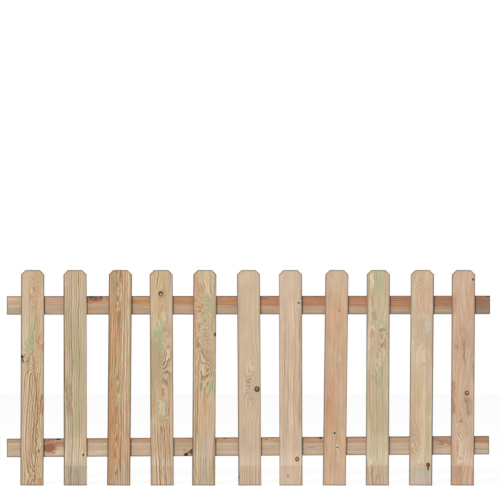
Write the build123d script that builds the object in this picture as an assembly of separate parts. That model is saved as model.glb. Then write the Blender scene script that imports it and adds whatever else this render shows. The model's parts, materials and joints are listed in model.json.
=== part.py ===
"""Garden fence panel: eleven dog-eared pales fixed to the front of two rails, with no posts.

Millimetres. +X runs along the fence, +Z is up, and the pales face -Y.
The origin is the middle of the bottom rail's back face, which lies against the posts.
"""

from build123d import *
from math import atan2, degrees
import os

# Pales: planed boards, sawn square at the foot and dog-eared at the head
pale_width = 86.0
pale_thickness = 18.0
pale_length = 801.5
pale_gap = 74.5
ear_cut = 16.5
pale_arris = 2.0

# Rails: heavier planed battens laid flat behind the pales
rail_height = 69.0
rail_thickness = 28.0
rail_overhang = 54.5
rail_arris = 2.5
bottom_rail_trim = 3.5

# Heights of the rails' centre lines, measured in from the pales' ends
bottom_rail_rise = 144.0
top_rail_drop = 130.5

# Saw-cut ends keep a fine eased edge
end_ease = 0.8

# How the panel was knocked together by hand: each pale's step sideways from an even
# spacing, left to right, and how far its foot then strays sideways from its head
pale_step = [-1.5, -2.5, 2, -2, -4, 2.5, -3.5, 3, -0.5, 1.5, -5]
pale_stray = [-3, 1, -7, 4, -5, 5, 2, -10, -4, -7, -5]

# How much higher each rail's right-hand end is than its left-hand end
top_rail_climb = 2.0
bottom_rail_climb = 10.5

# Worked out from the sizes above
pale_count = len(pale_step)
pale_pitch = pale_width + pale_gap
rail_length = (pale_count - 1) * pale_pitch + pale_width + 2 * rail_overhang
foot_level = -bottom_rail_rise
head_level = foot_level + pale_length
pale_middle = (foot_level + head_level) / 2
top_rail_level = head_level - top_rail_drop
bottom_rail_level = 0.0


def tilt(offset, run):
    """The angle of a board that is out by offset over its length, in degrees."""
    return degrees(atan2(offset, run))


def planed_board(width, thickness, length, arris):
    """A planed board standing on Z = 0, its back face on Y = 0 and its front face towards -Y."""
    section = Plane.XY * Pos(0, -thickness / 2) * RectangleRounded(width, thickness, arris)
    return extrude(section, length)


def eased_ends(board):
    """The board with the edges of its sawn ends eased."""
    ends = [board.faces().sort_by(Axis.Z)[0], board.faces().sort_by(Axis.Z)[-1]]
    for end in ends:
        board = chamfer(end.edges(), end_ease)
    return board


def ear_offcut(side):
    """The corner sawn off a pale's head, on the right for side = 1 and on the left for side = -1."""
    edge = side * pale_width / 2
    corner = (edge, pale_length)
    along_head = (edge - side * ear_cut, pale_length)
    down_side = (edge, pale_length - ear_cut)
    outline = Plane.XZ * make_face(Polyline(corner, along_head, down_side, close=True))
    return extrude(outline, pale_thickness, both=True)


def pale():
    """One pale, standing on Z = 0 with its back face on Y = 0."""
    board = planed_board(pale_width, pale_thickness, pale_length, pale_arris)
    for side in (-1, 1):
        board -= ear_offcut(side)
    return eased_ends(board)


def set_pale(number):
    """The pale in its place on the rails, counted from 0 at the left-hand end."""
    centre = (number - (pale_count - 1) / 2) * pale_pitch + pale_step[number]
    lean = Rot(0, -tilt(pale_stray[number], pale_length), 0)
    upright = Pos(0, 0, -pale_length / 2) * pale()
    return Pos(centre, -rail_thickness, pale_middle) * lean * upright


def rail(level, climb, trim):
    """One rail with its back face on Y = 0, cut short by trim at its right-hand end."""
    batten = eased_ends(planed_board(rail_height, rail_thickness, rail_length - trim, rail_arris))
    lying = Rot(0, 90, 0) * Pos(0, 0, -rail_length / 2) * batten
    return Pos(0, 0, level) * Rot(0, -tilt(climb, rail_length), 0) * lying


nodes = {
    "top_rail": rail(top_rail_level, top_rail_climb, 0),
    "bottom_rail": rail(bottom_rail_level, bottom_rail_climb, bottom_rail_trim),
}
for number in range(pale_count):
    nodes[f"pale_{number + 1:02d}"] = set_pale(number)

os.makedirs("parts", exist_ok=True)
for name, solid in nodes.items():
    solid.label = name
    export_step(solid, f"parts/{name}.step")
    size = solid.bounding_box().size
    print(f"{name}: {size.X:.1f} x {size.Y:.1f} x {size.Z:.1f} mm, {solid.volume / 1e3:.1f} cm3")
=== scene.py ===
"""Looks of a low garden fence panel: eleven dog-eared pales nailed to two rails.

Lengths are metres in the part's own frame, with +X along the fence, +Z up and the pales
facing -Y. Marks on a board, such as knots, are given in millimetres on the board itself:
`run` goes along it from its foot, or from a rail's left-hand end, and `across` goes from
its centre line to the right on a pale and downwards on a rail.
"""

import json
import logging
import math
from dataclasses import dataclass, field
from enum import Enum
from functools import cached_property

import bmesh
import bpy
from bmesh.types import BMEdge, BMesh, BMFace
from bpy.types import Material, Node, NodeSocket as Socket, NodeTree, Object
from mathutils import Matrix, Vector, noise

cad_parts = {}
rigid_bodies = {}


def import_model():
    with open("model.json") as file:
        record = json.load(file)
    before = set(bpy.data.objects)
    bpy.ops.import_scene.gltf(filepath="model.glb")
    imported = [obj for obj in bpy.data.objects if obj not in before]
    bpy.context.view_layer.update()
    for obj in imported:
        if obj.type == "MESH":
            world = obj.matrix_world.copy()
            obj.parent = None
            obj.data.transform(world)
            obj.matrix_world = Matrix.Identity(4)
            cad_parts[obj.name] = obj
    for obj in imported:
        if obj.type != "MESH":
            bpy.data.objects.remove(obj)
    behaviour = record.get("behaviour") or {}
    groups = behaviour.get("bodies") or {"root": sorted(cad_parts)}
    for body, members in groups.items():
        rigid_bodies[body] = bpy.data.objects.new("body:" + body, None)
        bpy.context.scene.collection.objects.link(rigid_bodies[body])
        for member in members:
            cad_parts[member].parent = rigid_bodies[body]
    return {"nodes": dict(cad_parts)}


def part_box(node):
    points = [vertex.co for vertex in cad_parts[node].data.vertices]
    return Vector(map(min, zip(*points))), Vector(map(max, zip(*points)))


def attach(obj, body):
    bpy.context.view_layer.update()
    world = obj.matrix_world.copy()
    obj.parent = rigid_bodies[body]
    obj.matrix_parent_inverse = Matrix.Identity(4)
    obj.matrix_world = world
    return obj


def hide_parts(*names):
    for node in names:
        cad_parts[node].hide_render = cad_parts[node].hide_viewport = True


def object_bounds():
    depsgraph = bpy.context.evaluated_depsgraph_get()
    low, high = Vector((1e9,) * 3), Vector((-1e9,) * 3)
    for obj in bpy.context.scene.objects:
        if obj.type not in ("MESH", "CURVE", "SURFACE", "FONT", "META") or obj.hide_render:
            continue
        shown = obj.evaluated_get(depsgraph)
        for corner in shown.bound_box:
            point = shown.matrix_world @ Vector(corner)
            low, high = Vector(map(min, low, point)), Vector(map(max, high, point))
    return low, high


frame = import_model()
cad_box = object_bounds()

MM = 0.001
log = logging.getLogger("fence_panel")

Feed = Socket | float | int | tuple | Vector
Pair = tuple[float, float]


class Tone(Enum):
    """Colours of treated softwood and its stains, as 8-bit red, green and blue."""

    FAWN = (204, 182, 152)
    HONEY = (202, 172, 136)
    ROSY = (208, 182, 158)
    PEACH = (206, 170, 142)
    SAND = (222, 203, 174)
    CREAM = (238, 222, 190)
    STRAW = (204, 184, 128)
    OLIVE = (178, 168, 128)
    SAGE = (150, 148, 106)
    MINT = (160, 184, 138)
    ASH = (184, 174, 158)
    AMBER = (194, 146, 96)
    FLUSH = (196, 158, 126)
    TERRA = (204, 142, 112)
    RUSSET = (172, 116, 84)
    CINNAMON = (180, 127, 94)
    TAN = (158, 112, 72)
    MAROON = (104, 52, 40)
    UMBER = (136, 98, 72)
    BARK = (112, 76, 48)
    DRAB = (176, 152, 126)
    SIENNA = (146, 92, 62)
    KNOT = (108, 68, 42)
    PITCH = (44, 26, 16)
    ZINC = (150, 152, 154)
    SMOKE = (88, 82, 70)
    MIST = (182, 182, 172)

    @property
    def linear(self) -> tuple[float, float, float, float]:
        """The colour as linear light, with full alpha."""
        parts = [channel / 255 for channel in self.value]
        curved = [((part + 0.055) / 1.055) ** 2.4 for part in parts]
        return (*curved, 1.0)


@dataclass(frozen=True)
class Graph:
    """A node tree with short ways to add and join its nodes."""

    tree: NodeTree

    def add(self, kind: str, **settings: object) -> Node:
        """Adds a node of the kind ShaderNode`kind`.

        Args:
            kind: The node's class name without `ShaderNode`.
            settings: Properties set on the node.

        Returns:
            The new node.
        """
        made = self.tree.nodes.new("ShaderNode" + kind)
        for name, value in settings.items():
            setattr(made, name, value)
        return made

    def feed(self, target: Socket, source: Feed) -> None:
        """Joins a socket to `source`, or sets it where `source` is a plain value.

        Args:
            target: The socket.
            source: Another node's output, or a value.
        """
        if isinstance(source, Socket):
            self.tree.links.new(source, target)
        else:
            target.default_value = source

    def result(self, kind: str, *feeds: Feed, **settings: object) -> Socket:
        """Adds a node, feeds it and gives what it makes.

        Args:
            kind: The node's class name without `ShaderNode`.
            feeds: Its inputs, in order.
            settings: Properties set on the node.

        Returns:
            The node's first output.
        """
        made = self.add(kind, **settings)
        for target, source in zip(made.inputs, feeds):
            self.feed(target, source)
        return made.outputs[0]

    def math(self, operation: str, *feeds: Feed) -> Socket:
        """The result of a Math node."""
        return self.result("Math", *feeds, operation=operation)

    def times(self, first: Feed, second: Feed) -> Socket:
        """The product of two values."""
        return self.math("MULTIPLY", first, second)

    def over(self, first: Feed, second: Feed) -> Socket:
        """The first value divided by the second."""
        return self.math("DIVIDE", first, second)

    def minus(self, first: Feed, second: Feed) -> Socket:
        """The first value less the second."""
        return self.math("SUBTRACT", first, second)

    def times_plus(self, first: Feed, second: Feed, third: Feed) -> Socket:
        """The product of two values, plus a third."""
        return self.math("MULTIPLY_ADD", first, second, third)

    def total(self, *feeds: Feed) -> Socket:
        """The sum of several values.

        Args:
            feeds: The values.

        Returns:
            Their sum.
        """
        result = feeds[0]
        for source in feeds[1:]:
            result = self.math("ADD", result, source)
        return result

    def distance(self, *feeds: Feed) -> Socket:
        """The root of the sum of the squares of several values."""
        return self.math("SQRT", self.total(*[self.times(source, source) for source in feeds]))

    def fading(self, out: Feed) -> Socket:
        """1 where `out` is 0, and towards 0 as it grows."""
        return self.math("EXPONENT", self.times(out, -1.0))

    def ramp(self, value: Feed, start: Feed, end: Feed, low: float = 0.0, high: float = 1.0) -> Socket:
        """A smooth step.

        Args:
            value: What is mapped.
            start: Where the step starts.
            end: Where it ends, above `start`.
            low: The result up to `start`.
            high: The result from `end`.

        Returns:
            The stepped value.
        """
        return self.result("MapRange", value, start, end, low, high, interpolation_type="SMOOTHSTEP")

    def fall(self, value: Feed, start: Feed, end: Feed) -> Socket:
        """A smooth step down from 1 to 0."""
        return self.ramp(value, start, end, 1.0, 0.0)

    def split(self, source: Feed, kind: str = "SeparateXYZ") -> tuple[Socket, ...]:
        """The three parts of a vector or a colour.

        Args:
            source: The vector or the colour.
            kind: The node that parts it, `SeparateXYZ` or `SeparateColor`.

        Returns:
            The parts, in order.
        """
        made = self.add(kind)
        self.feed(made.inputs[0], source)
        return tuple(made.outputs)

    def join(self, x: Feed, y: Feed, z: Feed) -> Socket:
        """A vector of three values."""
        return self.result("CombineXYZ", x, y, z)

    def grey(self, level: Feed) -> Socket:
        """A colour with the same level in each channel."""
        return self.result("CombineColor", level, level, level)

    def scaled(self, vector: Feed, factors: tuple[float, float, float]) -> Socket:
        """A vector times `factors`, part by part."""
        return self.result("VectorMath", vector, factors, operation="MULTIPLY")

    def moved(self, vector: Feed, step: Feed) -> Socket:
        """A vector plus `step`."""
        return self.result("VectorMath", vector, step, operation="ADD")

    def speckle(
        self, vector: Feed, scale: float = 1.0, detail: float = 2.0, roughness: float = 0.5
    ) -> Socket:
        """Noise about one half at a point.

        Args:
            vector: The point.
            scale: Cells in a unit of length.
            detail: Finer octaves added.
            roughness: How strong they are.

        Returns:
            A value from 0 to 1.
        """
        made = self.add("TexNoise", noise_dimensions="3D")
        feeds = {"Vector": vector, "Scale": scale, "Detail": detail, "Roughness": roughness}
        for name, source in feeds.items():
            self.feed(made.inputs[name], source)
        return made.outputs[0]

    def wave(self, place: Feed, detail: float = 1.0) -> Node:
        """Noise along a line.

        Args:
            place: Where on the line, in cells.
            detail: Finer octaves added.

        Returns:
            The noise node.
        """
        made = self.add("TexNoise", noise_dimensions="1D")
        for name, source in (("W", place), ("Scale", 1.0), ("Detail", detail)):
            self.feed(made.inputs[name], source)
        return made

    def blend(self, factor: Feed, first: Feed, second: Feed, mode: str = "MIX") -> Socket:
        """Two colours mixed.

        Args:
            factor: How much of `second` there is.
            first: The colour at 0.
            second: The colour at 1.
            mode: How they combine.

        Returns:
            The mixed colour.
        """
        made = self.add("Mix", data_type="RGBA", blend_type=mode)
        for name, source in (("Factor_Float", factor), ("A_Color", first), ("B_Color", second)):
            target = next(socket for socket in made.inputs if socket.identifier == name)
            self.feed(target, source)
        return next(socket for socket in made.outputs if socket.identifier == "Result_Color")

    def effect(self, group: NodeTree, **feeds: Feed) -> Node:
        """Places a shared effect.

        Args:
            group: The effect's node group.
            feeds: Its inputs, named as its sockets are with spaces as underscores.

        Returns:
            The group node.
        """
        made = self.add("Group", node_tree=group)
        for name, source in feeds.items():
            self.feed(made.inputs[name.replace("_", " ")], source)
        return made


def values(*names: str) -> dict[str, str]:
    """Sockets that carry a value, by name."""
    return dict.fromkeys(names, "NodeSocketFloat")


def vectors(*names: str) -> dict[str, str]:
    """Sockets that carry a vector, by name."""
    return dict.fromkeys(names, "NodeSocketVector")


class Effect:
    """A shader node group in the making, with its named inputs and outputs."""

    def __init__(self, name: str, inputs: dict[str, str], outputs: dict[str, str]) -> None:
        """Makes the group and its sockets.

        Args:
            name: The group's name.
            inputs: Each input's kind by its name.
            outputs: Each output's kind by its name.
        """
        self.group = bpy.data.node_groups.new(name, "ShaderNodeTree")
        self.graph = Graph(self.group)
        for side, sockets in (("INPUT", inputs), ("OUTPUT", outputs)):
            for socket, kind in sockets.items():
                self.group.interface.new_socket(socket, in_out=side, socket_type=kind)
        self.entry = self.group.nodes.new("NodeGroupInput").outputs
        self.exit = self.group.nodes.new("NodeGroupOutput").inputs

    def inside(self, across: Feed, run: Feed, power: Feed) -> Socket:
        """How far a point is inside the patch that the group's inputs give.

        Args:
            across: The point's place across the board.
            run: Its place along the board.
            power: 2 for an oval patch, less for a pointed one and more for a squarer one.

        Returns:
            1 at the patch's middle, and towards 0 outside it.
        """
        g, put = self.graph, self.entry
        aside = g.over(g.minus(across, put["Across"]), put["Half Width"])
        along = g.over(g.minus(run, put["Run"]), put["Half Length"])
        powers = [g.math("POWER", g.math("ABSOLUTE", part), power) for part in (aside, along)]
        return g.fading(g.total(*powers))

    def give(self, **results: Feed) -> NodeTree:
        """Joins the outputs.

        Args:
            results: What each output carries, named with underscores for spaces.

        Returns:
            The finished group.
        """
        for name, source in results.items():
            self.graph.feed(self.exit[name.replace("_", " ")], source)
        return self.group


class Effects:
    """The effects that every board's finish is made of, each built once, when a board first needs it.

    A point is in the board's own frame, in metres across, through and along it. Noise has its cells in a
    metre. Places in a ring are parts of its width, and places in a knot are counted in radii.
    """

    @cached_property
    def rings(self) -> NodeTree:
        """Growth rings about a pith line near the board, whose faces so show straight or arched grain."""
        sway_cells, sway_apart = 2.6, 7.3
        ripple_cells = (30.0, 30.0, 5.0)
        uneven_cells, uneven_rings = 90.0, 1.3
        late_rise, late_drop = (0.42, 0.82), (0.90, 1.0)
        early_drop = (0.0, 0.4)
        tone_apart = 3.1
        inputs = vectors("Vector")
        inputs |= values("Pith Across", "Pith Depth", "Lean Across", "Lean Depth", "Ring Width")
        inputs |= values("Wander", "Ripple", "Swell", "Seed")
        e = Effect("growth_rings", inputs, values("Late Wood", "Early Wood", "Ring Tone", "Radius"))
        g, put = e.graph, e.entry
        across, depth, run = g.split(put["Vector"])
        sway = g.wave(g.times_plus(run, sway_cells, g.times(put["Seed"], sway_apart)), 2.0)
        sway_across, sway_depth, _ = g.split(sway.outputs["Color"], "SeparateColor")
        pith_across = g.times_plus(run, put["Lean Across"], put["Pith Across"])
        pith_across = g.times_plus(g.minus(sway_across, 0.5), put["Wander"], pith_across)
        pith_depth = g.times_plus(run, put["Lean Depth"], put["Pith Depth"])
        pith_depth = g.times_plus(g.minus(sway_depth, 0.5), put["Wander"], pith_depth)
        radius = g.distance(g.minus(across, pith_across), g.minus(depth, pith_depth))
        place = g.moved(g.scaled(put["Vector"], ripple_cells), g.join(put["Seed"], 0.0, 0.0))
        radius = g.times_plus(g.minus(g.speckle(place), 0.5), put["Ripple"], radius)
        uneven = g.wave(g.times_plus(radius, uneven_cells, put["Seed"]), 2.0)
        rings = g.over(radius, put["Ring Width"])
        count = g.total(rings, g.times(uneven.outputs[0], uneven_rings), put["Swell"])
        part = g.math("FRACT", count)
        late = g.times(g.ramp(part, *late_rise), g.fall(part, *late_drop))
        drawn = g.total(g.math("FLOOR", count), g.times(put["Seed"], tone_apart))
        chance = g.add("TexWhiteNoise", noise_dimensions="1D")
        g.feed(chance.inputs["W"], drawn)
        early = g.fall(part, *early_drop)
        return e.give(Late_Wood=late, Early_Wood=early, Ring_Tone=chance.outputs[0], Radius=radius)

    @cached_property
    def swell(self) -> NodeTree:
        """A swelling in the log that the saw has sliced, which bends the rings into eyes and arches."""
        wobble_cells = (60.0, 60.0, 30.0)
        wobble_across, wobble_along = 0.012, 0.016
        sizes = values("Across", "Run", "Half Width", "Half Length", "Rings", "Roundness")
        e = Effect("ring_swell", vectors("Vector") | sizes, values("Swell"))
        g, put = e.graph, e.entry
        place = g.scaled(put["Vector"], wobble_cells)
        wobble = g.add("TexNoise", noise_dimensions="3D")
        g.feed(wobble.inputs["Vector"], place)
        g.feed(wobble.inputs["Scale"], 1.0)
        red, _, blue = g.split(wobble.outputs["Color"], "SeparateColor")
        aside, along = g.minus(red, 0.5), g.minus(blue, 0.5)
        across, _, run = g.split(put["Vector"])
        across = g.times_plus(aside, wobble_across, across)
        run = g.times_plus(along, wobble_along, run)
        return e.give(Swell=g.times(e.inside(across, run, put["Roundness"]), put["Rings"]))

    @cached_property
    def figure(self) -> NodeTree:
        """A patch of wavy figure, which shakes the grain sideways."""
        squareness = 4.0
        across_cells, depth_cells = 42.0, 30.0
        sizes = values("Across", "Run", "Half Width", "Half Length", "Depth", "Pace")
        e = Effect("grain_figure", vectors("Vector", "Grain") | sizes, vectors("Grain"))
        g, put = e.graph, e.entry
        across, depth, run = g.split(put["Vector"])
        reach = e.inside(across, run, squareness)
        place = g.join(g.times(across, across_cells), g.times(depth, depth_cells), g.over(run, put["Pace"]))
        shake = g.minus(g.speckle(place, detail=1.0), 0.5)
        push = g.times(g.times(shake, put["Depth"]), reach)
        grain_across, grain_depth, grain_run = g.split(put["Grain"])
        return e.give(Grain=g.join(g.total(grain_across, push), grain_depth, grain_run))

    @cached_property
    def fibre(self) -> NodeTree:
        """Fine streaks along the board, and broader ones."""
        fine_cells, fine_roughness = (620.0, 420.0, 16.0), 0.6
        broad_cells, broad_roughness = (170.0, 120.0, 5.0), 0.55
        run_apart = 0.37
        e = Effect("wood_fibre", vectors("Vector") | values("Seed"), values("Fine", "Broad"))
        g, put = e.graph, e.entry
        place = g.moved(put["Vector"], g.join(put["Seed"], 0.0, g.times(put["Seed"], run_apart)))
        fine = g.speckle(g.scaled(place, fine_cells), detail=3.0, roughness=fine_roughness)
        broad = g.speckle(g.scaled(place, broad_cells), detail=3.0, roughness=broad_roughness)
        return e.give(Fine=fine, Broad=broad)

    @cached_property
    def mottle(self) -> NodeTree:
        """Long soft patches along the grain, where a board's second tone shows, and rounder clouds."""
        long_cells, long_roughness = (42.0, 20.0, 4.5), 0.55
        cloud_cells = (28.0, 20.0, 14.0)
        depth_apart = 1.7
        e = Effect("tone_mottle", vectors("Vector") | values("Seed"), values("Long", "Cloud"))
        g, put = e.graph, e.entry
        place = g.moved(put["Vector"], g.join(put["Seed"], g.times(put["Seed"], depth_apart), 0.0))
        long = g.speckle(g.scaled(place, long_cells), detail=3.0, roughness=long_roughness)
        cloud = g.speckle(g.scaled(place, cloud_cells))
        return e.give(Long=long, Cloud=cloud)

    @cached_property
    def knot(self) -> NodeTree:
        """A knot, and the grain that flows round it."""
        flow_width, flow_length = 2.6, 6.5
        rough_cells, rough_depth = 260.0, 0.35
        edge, heart_edge = (0.88, 1.12), (0.18, 0.52)
        rim_rise, rim_drop = (0.50, 0.92), (1.0, 1.45)
        ring_pace = 16.0
        inputs = vectors("Vector", "Grain") | values("Across", "Run", "Radius", "Stretch", "Pull")
        e = Effect("knot", inputs, vectors("Grain") | values("Face", "Rim", "Heart", "Rings"))
        g, put = e.graph, e.entry
        across, _, run = g.split(put["Vector"])
        aside = g.minus(across, put["Across"])
        along = g.minus(run, put["Run"])
        wide = g.over(aside, g.times(put["Radius"], flow_width))
        long = g.over(along, g.times(put["Radius"], flow_length))
        reach = g.fading(g.total(g.times(wide, wide), g.times(long, long)))
        squeeze = g.times(g.times(aside, reach), put["Pull"])
        grain_across, grain_depth, grain_run = g.split(put["Grain"])
        grain = g.join(g.minus(grain_across, squeeze), grain_depth, grain_run)
        rough = g.minus(g.speckle(put["Vector"], rough_cells), 0.5)
        out = g.distance(g.over(aside, put["Radius"]), g.over(along, g.times(put["Radius"], put["Stretch"])))
        out = g.times_plus(rough, rough_depth, out)
        face = g.fall(out, *edge)
        rim = g.times(g.ramp(out, *rim_rise), g.fall(out, *rim_drop))
        heart = g.fall(out, *heart_edge)
        rings = g.math("SINE", g.times(out, ring_pace))
        return e.give(Grain=grain, Face=face, Rim=rim, Heart=heart, Rings=rings)

    @cached_property
    def streak(self) -> NodeTree:
        """A band of another tone along the board, wavering and fading at its sides and ends."""
        waver_cells, jitter_cells = 9.0, 60.0
        side_drop = (0.35, 1.15)
        rag_cells, rag_rise = (190.0, 90.0, 22.0), (0.34, 0.56)
        inputs = vectors("Vector") | values("Across", "Half Width", "Start", "End")
        inputs |= values("Waver", "Fade", "Seed", "Jitter", "Rag", "Slant")
        e = Effect("tone_streak", inputs, values("Mask"))
        g, put = e.graph, e.entry
        across, _, run = g.split(put["Vector"])
        sway = g.wave(g.times_plus(run, waver_cells, put["Seed"]))
        middle = g.times_plus(g.minus(sway.outputs[0], 0.5), put["Waver"], put["Across"])
        shake = g.wave(g.times_plus(run, jitter_cells, put["Seed"]))
        middle = g.times_plus(g.minus(shake.outputs[0], 0.5), put["Jitter"], middle)
        halfway = g.times(g.total(put["Start"], put["End"]), 0.5)
        middle = g.times_plus(g.minus(run, halfway), put["Slant"], middle)
        aside = g.math("ABSOLUTE", g.minus(across, middle))
        side = g.fall(g.over(aside, put["Half Width"]), *side_drop)
        start = g.ramp(g.minus(run, put["Start"]), 0.0, put["Fade"])
        end = g.ramp(g.minus(put["End"], run), 0.0, put["Fade"])
        apart = g.join(put["Seed"], 0.0, 0.0)
        seeded = g.result("Mapping", put["Vector"], apart, (0.0, 0.0, 0.0), rag_cells, vector_type="POINT")
        whole = g.minus(1.0, put["Rag"])
        broken = g.ramp(g.speckle(seeded), *rag_rise, whole, 1.0)
        return e.give(Mask=g.times(g.times(side, broken), g.times(start, end)))

    @cached_property
    def outline(self) -> NodeTree:
        """How near a face's point is to the outline, for the dirt and painted shade along arrises and sawn
        ends.
        """
        rough_cells, rough_depth = (300.0, 300.0, 60.0), 0.0016
        drop = (0.3, 1.0)
        inputs = vectors("Vector") | values("Half Width", "Half Length", "Ear", "Reach")
        e = Effect("arris_outline", inputs, values("Sides", "Ends"))
        g, put = e.graph, e.entry
        across, _, run = g.split(put["Vector"])
        side = g.minus(put["Half Width"], g.math("ABSOLUTE", across))
        end = g.minus(put["Half Length"], g.math("ABSOLUTE", run))
        head = g.minus(put["Half Length"], run)
        ear = g.times(g.minus(g.total(side, head), put["Ear"]), math.sqrt(0.5))
        rough = g.minus(g.speckle(g.scaled(put["Vector"], rough_cells)), 0.5)
        step = g.times(rough, rough_depth)
        nearest = (side, g.math("MINIMUM", end, ear))
        sides, ends = [g.fall(g.over(g.total(near, step), put["Reach"]), *drop) for near in nearest]
        return e.give(Sides=sides, Ends=ends)

    @cached_property
    def sawn(self) -> NodeTree:
        """Where the face looks along the board, which is sawn end grain."""
        rise = (0.45, 0.65)
        e = Effect("sawn_end", vectors("Normal", "Lengthwise"), values("Mask"))
        g, put = e.graph, e.entry
        dot = g.add("VectorMath", operation="DOT_PRODUCT")
        g.feed(dot.inputs[0], put["Normal"])
        g.feed(dot.inputs[1], put["Lengthwise"])
        return e.give(Mask=g.ramp(g.math("ABSOLUTE", dot.outputs["Value"]), *rise))


class Look(Enum):
    """Kinds of knot, each with its rim's, face's and heart's tones."""

    RINGED = (Tone.PITCH, Tone.KNOT, Tone.SAND)
    HOLLOW = (Tone.KNOT, Tone.UMBER, Tone.FAWN)
    BROWN = (Tone.KNOT, Tone.UMBER, Tone.KNOT)
    RED = (Tone.MAROON, Tone.RUSSET, Tone.MAROON)
    SOFT = (Tone.TAN, Tone.RUSSET, Tone.TAN)
    DARK = (Tone.PITCH, Tone.KNOT, Tone.UMBER)
    CLOUDED = (Tone.SIENNA, Tone.SIENNA, Tone.SIENNA)
    PALE = (Tone.DRAB, Tone.ROSY, Tone.ROSY)
    GLINT = (Tone.KNOT, Tone.DRAB, Tone.DRAB)
    # Near-black: the tone of dead knots, and also painted shade in the hollow of each nick that such a knot
    # is laid on.
    DEAD = (Tone.PITCH, Tone.PITCH, Tone.PITCH)


@dataclass(frozen=True)
class Mark:
    """Something at one place on a board's front, in millimetres on the board.

    Attributes:
        across: Its middle's place across the board.
        run: Its middle's place along the board.
    """

    across: float
    run: float


@dataclass(frozen=True)
class Knot(Mark):
    """A knot.

    Attributes:
        radius: Half its width.
        look: Its kind.
        stretch: Its length over its width.
        pull: How far it parts the grain, from 0 to 1.
        show: How strongly its colours show.
    """

    radius: float
    look: Look = Look.BROWN
    stretch: float = 1.3
    pull: float = 0.85
    show: float = 1.0


@dataclass(frozen=True)
class Nick(Mark):
    """A dent in a board's front, or in its arris where it lies near one; a dark knot laid at the same place
    paints the shade in its hollow.

    Attributes:
        radius: Half its width.
        depth: How deep it is.
    """

    radius: float
    depth: float


@dataclass(frozen=True)
class Patch(Mark):
    """A soft patch.

    Attributes:
        width: Half its width.
        length: Half its length.
    """

    width: float
    length: float


@dataclass(frozen=True)
class Swell(Patch):
    """A swelling in the rings under a board's front.

    Attributes:
        rings: How many rings it lifts.
        roundness: 2 for rounded rings, and towards 1 for pointed ones.
    """

    rings: float
    roundness: float = 2.0


@dataclass(frozen=True)
class Figure(Patch):
    """A patch of wavy grain.

    Attributes:
        depth: How far the grain swings from side to side.
        pace: How long a swing is.
    """

    depth: float = 10.0
    pace: float = 12.0


@dataclass(frozen=True)
class Band:
    """Something that runs along a board, in millimetres on the board.

    Attributes:
        across: Its middle's place across the board.
        width: Its width.
        start: Where it starts along the board.
        end: Where it ends.
    """

    across: float
    width: float
    start: float
    end: float


@dataclass(frozen=True)
class Streak(Band):
    """A band of another tone.

    Attributes:
        tone: Its colour.
        strength: How much of that colour shows, from 0 to 1.
        waver: How far it strays from a straight line.
        fade: How far its ends fade.
        jitter: How far it shakes from side to side over short distances.
        rag: How far the grain breaks it up, from 0 to 1.
        slant: How far it moves across in a millimetre of the board.
    """

    tone: Tone
    strength: float = 0.5
    waver: float = 5.0
    fade: float = 30.0
    jitter: float = 0.0
    rag: float = 0.5
    slant: float = 0.0


@dataclass(frozen=True)
class Accent(Band):
    """A band where the rings show more or less strongly.

    Attributes:
        gain: What it adds to the rings' strength, as a part of that strength.
    """

    gain: float


@dataclass(frozen=True)
class Grain:
    """How a board lay in its log, in millimetres.

    Attributes:
        pith_across: The pith's place across the board, at mid-length.
        pith_depth: How far the pith lies behind the board's middle.
        lean_across: How far it moves across in a metre of the board.
        lean_depth: How far it moves back in a metre of the board.
        ring: The usual width of a ring.
        wander: How far the pith strays on its way.
        contrast: How dark the late wood is.
        ripple: How wavy the rings are.
        focus: The place across the board where the rings show best.
        spread: How far from there they fade away.
        late: The late wood's tone.
        early: How pale the early wood is.
    """

    pith_across: float
    pith_depth: float
    lean_across: float = 0.0
    lean_depth: float = 0.0
    ring: float = 6.0
    wander: float = 12.0
    contrast: float = 0.45
    ripple: float = 3.5
    focus: float = 0.0
    spread: float = 200.0
    late: Tone = Tone.TAN
    early: float = 0.35


@dataclass(frozen=True)
class Timber:
    """One board's finish.

    Attributes:
        base: Its main tone.
        second: The tone of its long patches.
        grain: How it lay in its log.
        knots: Its knots.
        streaks: Its bands of other tones, the lowest first.
        swells: The swellings in its rings.
        figures: Its patches of wavy grain.
        accents: Where its rings show more or less.
        nicks: Its dents.
        mix: How much of the second tone there is.
        bands: How far whole rings take one tone or the other.
        foot: How far the foot of the board is dulled.
        bleach: How far the wood just above its foot is bleached.
        heart: The radius of the red heartwood, 0 where the board has none.
        heart_tone: The heartwood's colour.
        fibre: How strongly its fine streaks show.
        edges: How dark its left and right arrises are with dirt and painted edge shade, from 0 to 1.
        ends: How dark the edges of its sawn ends are, with the same dirt and painted edge shade.
    """

    base: Tone
    second: Tone
    grain: Grain
    knots: tuple[Knot, ...] = ()
    streaks: tuple[Streak, ...] = ()
    swells: tuple[Swell, ...] = ()
    figures: tuple[Figure, ...] = ()
    accents: tuple[Accent, ...] = ()
    nicks: tuple[Nick, ...] = ()
    mix: float = 0.6
    bands: float = 0.12
    foot: float = 0.0
    bleach: float = 0.0
    heart: float = 0.0
    heart_tone: Tone = Tone.RUSSET
    fibre: float = 1.0
    edges: tuple[float, float] = (0.6, 0.5)
    ends: float = 0.6


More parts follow.
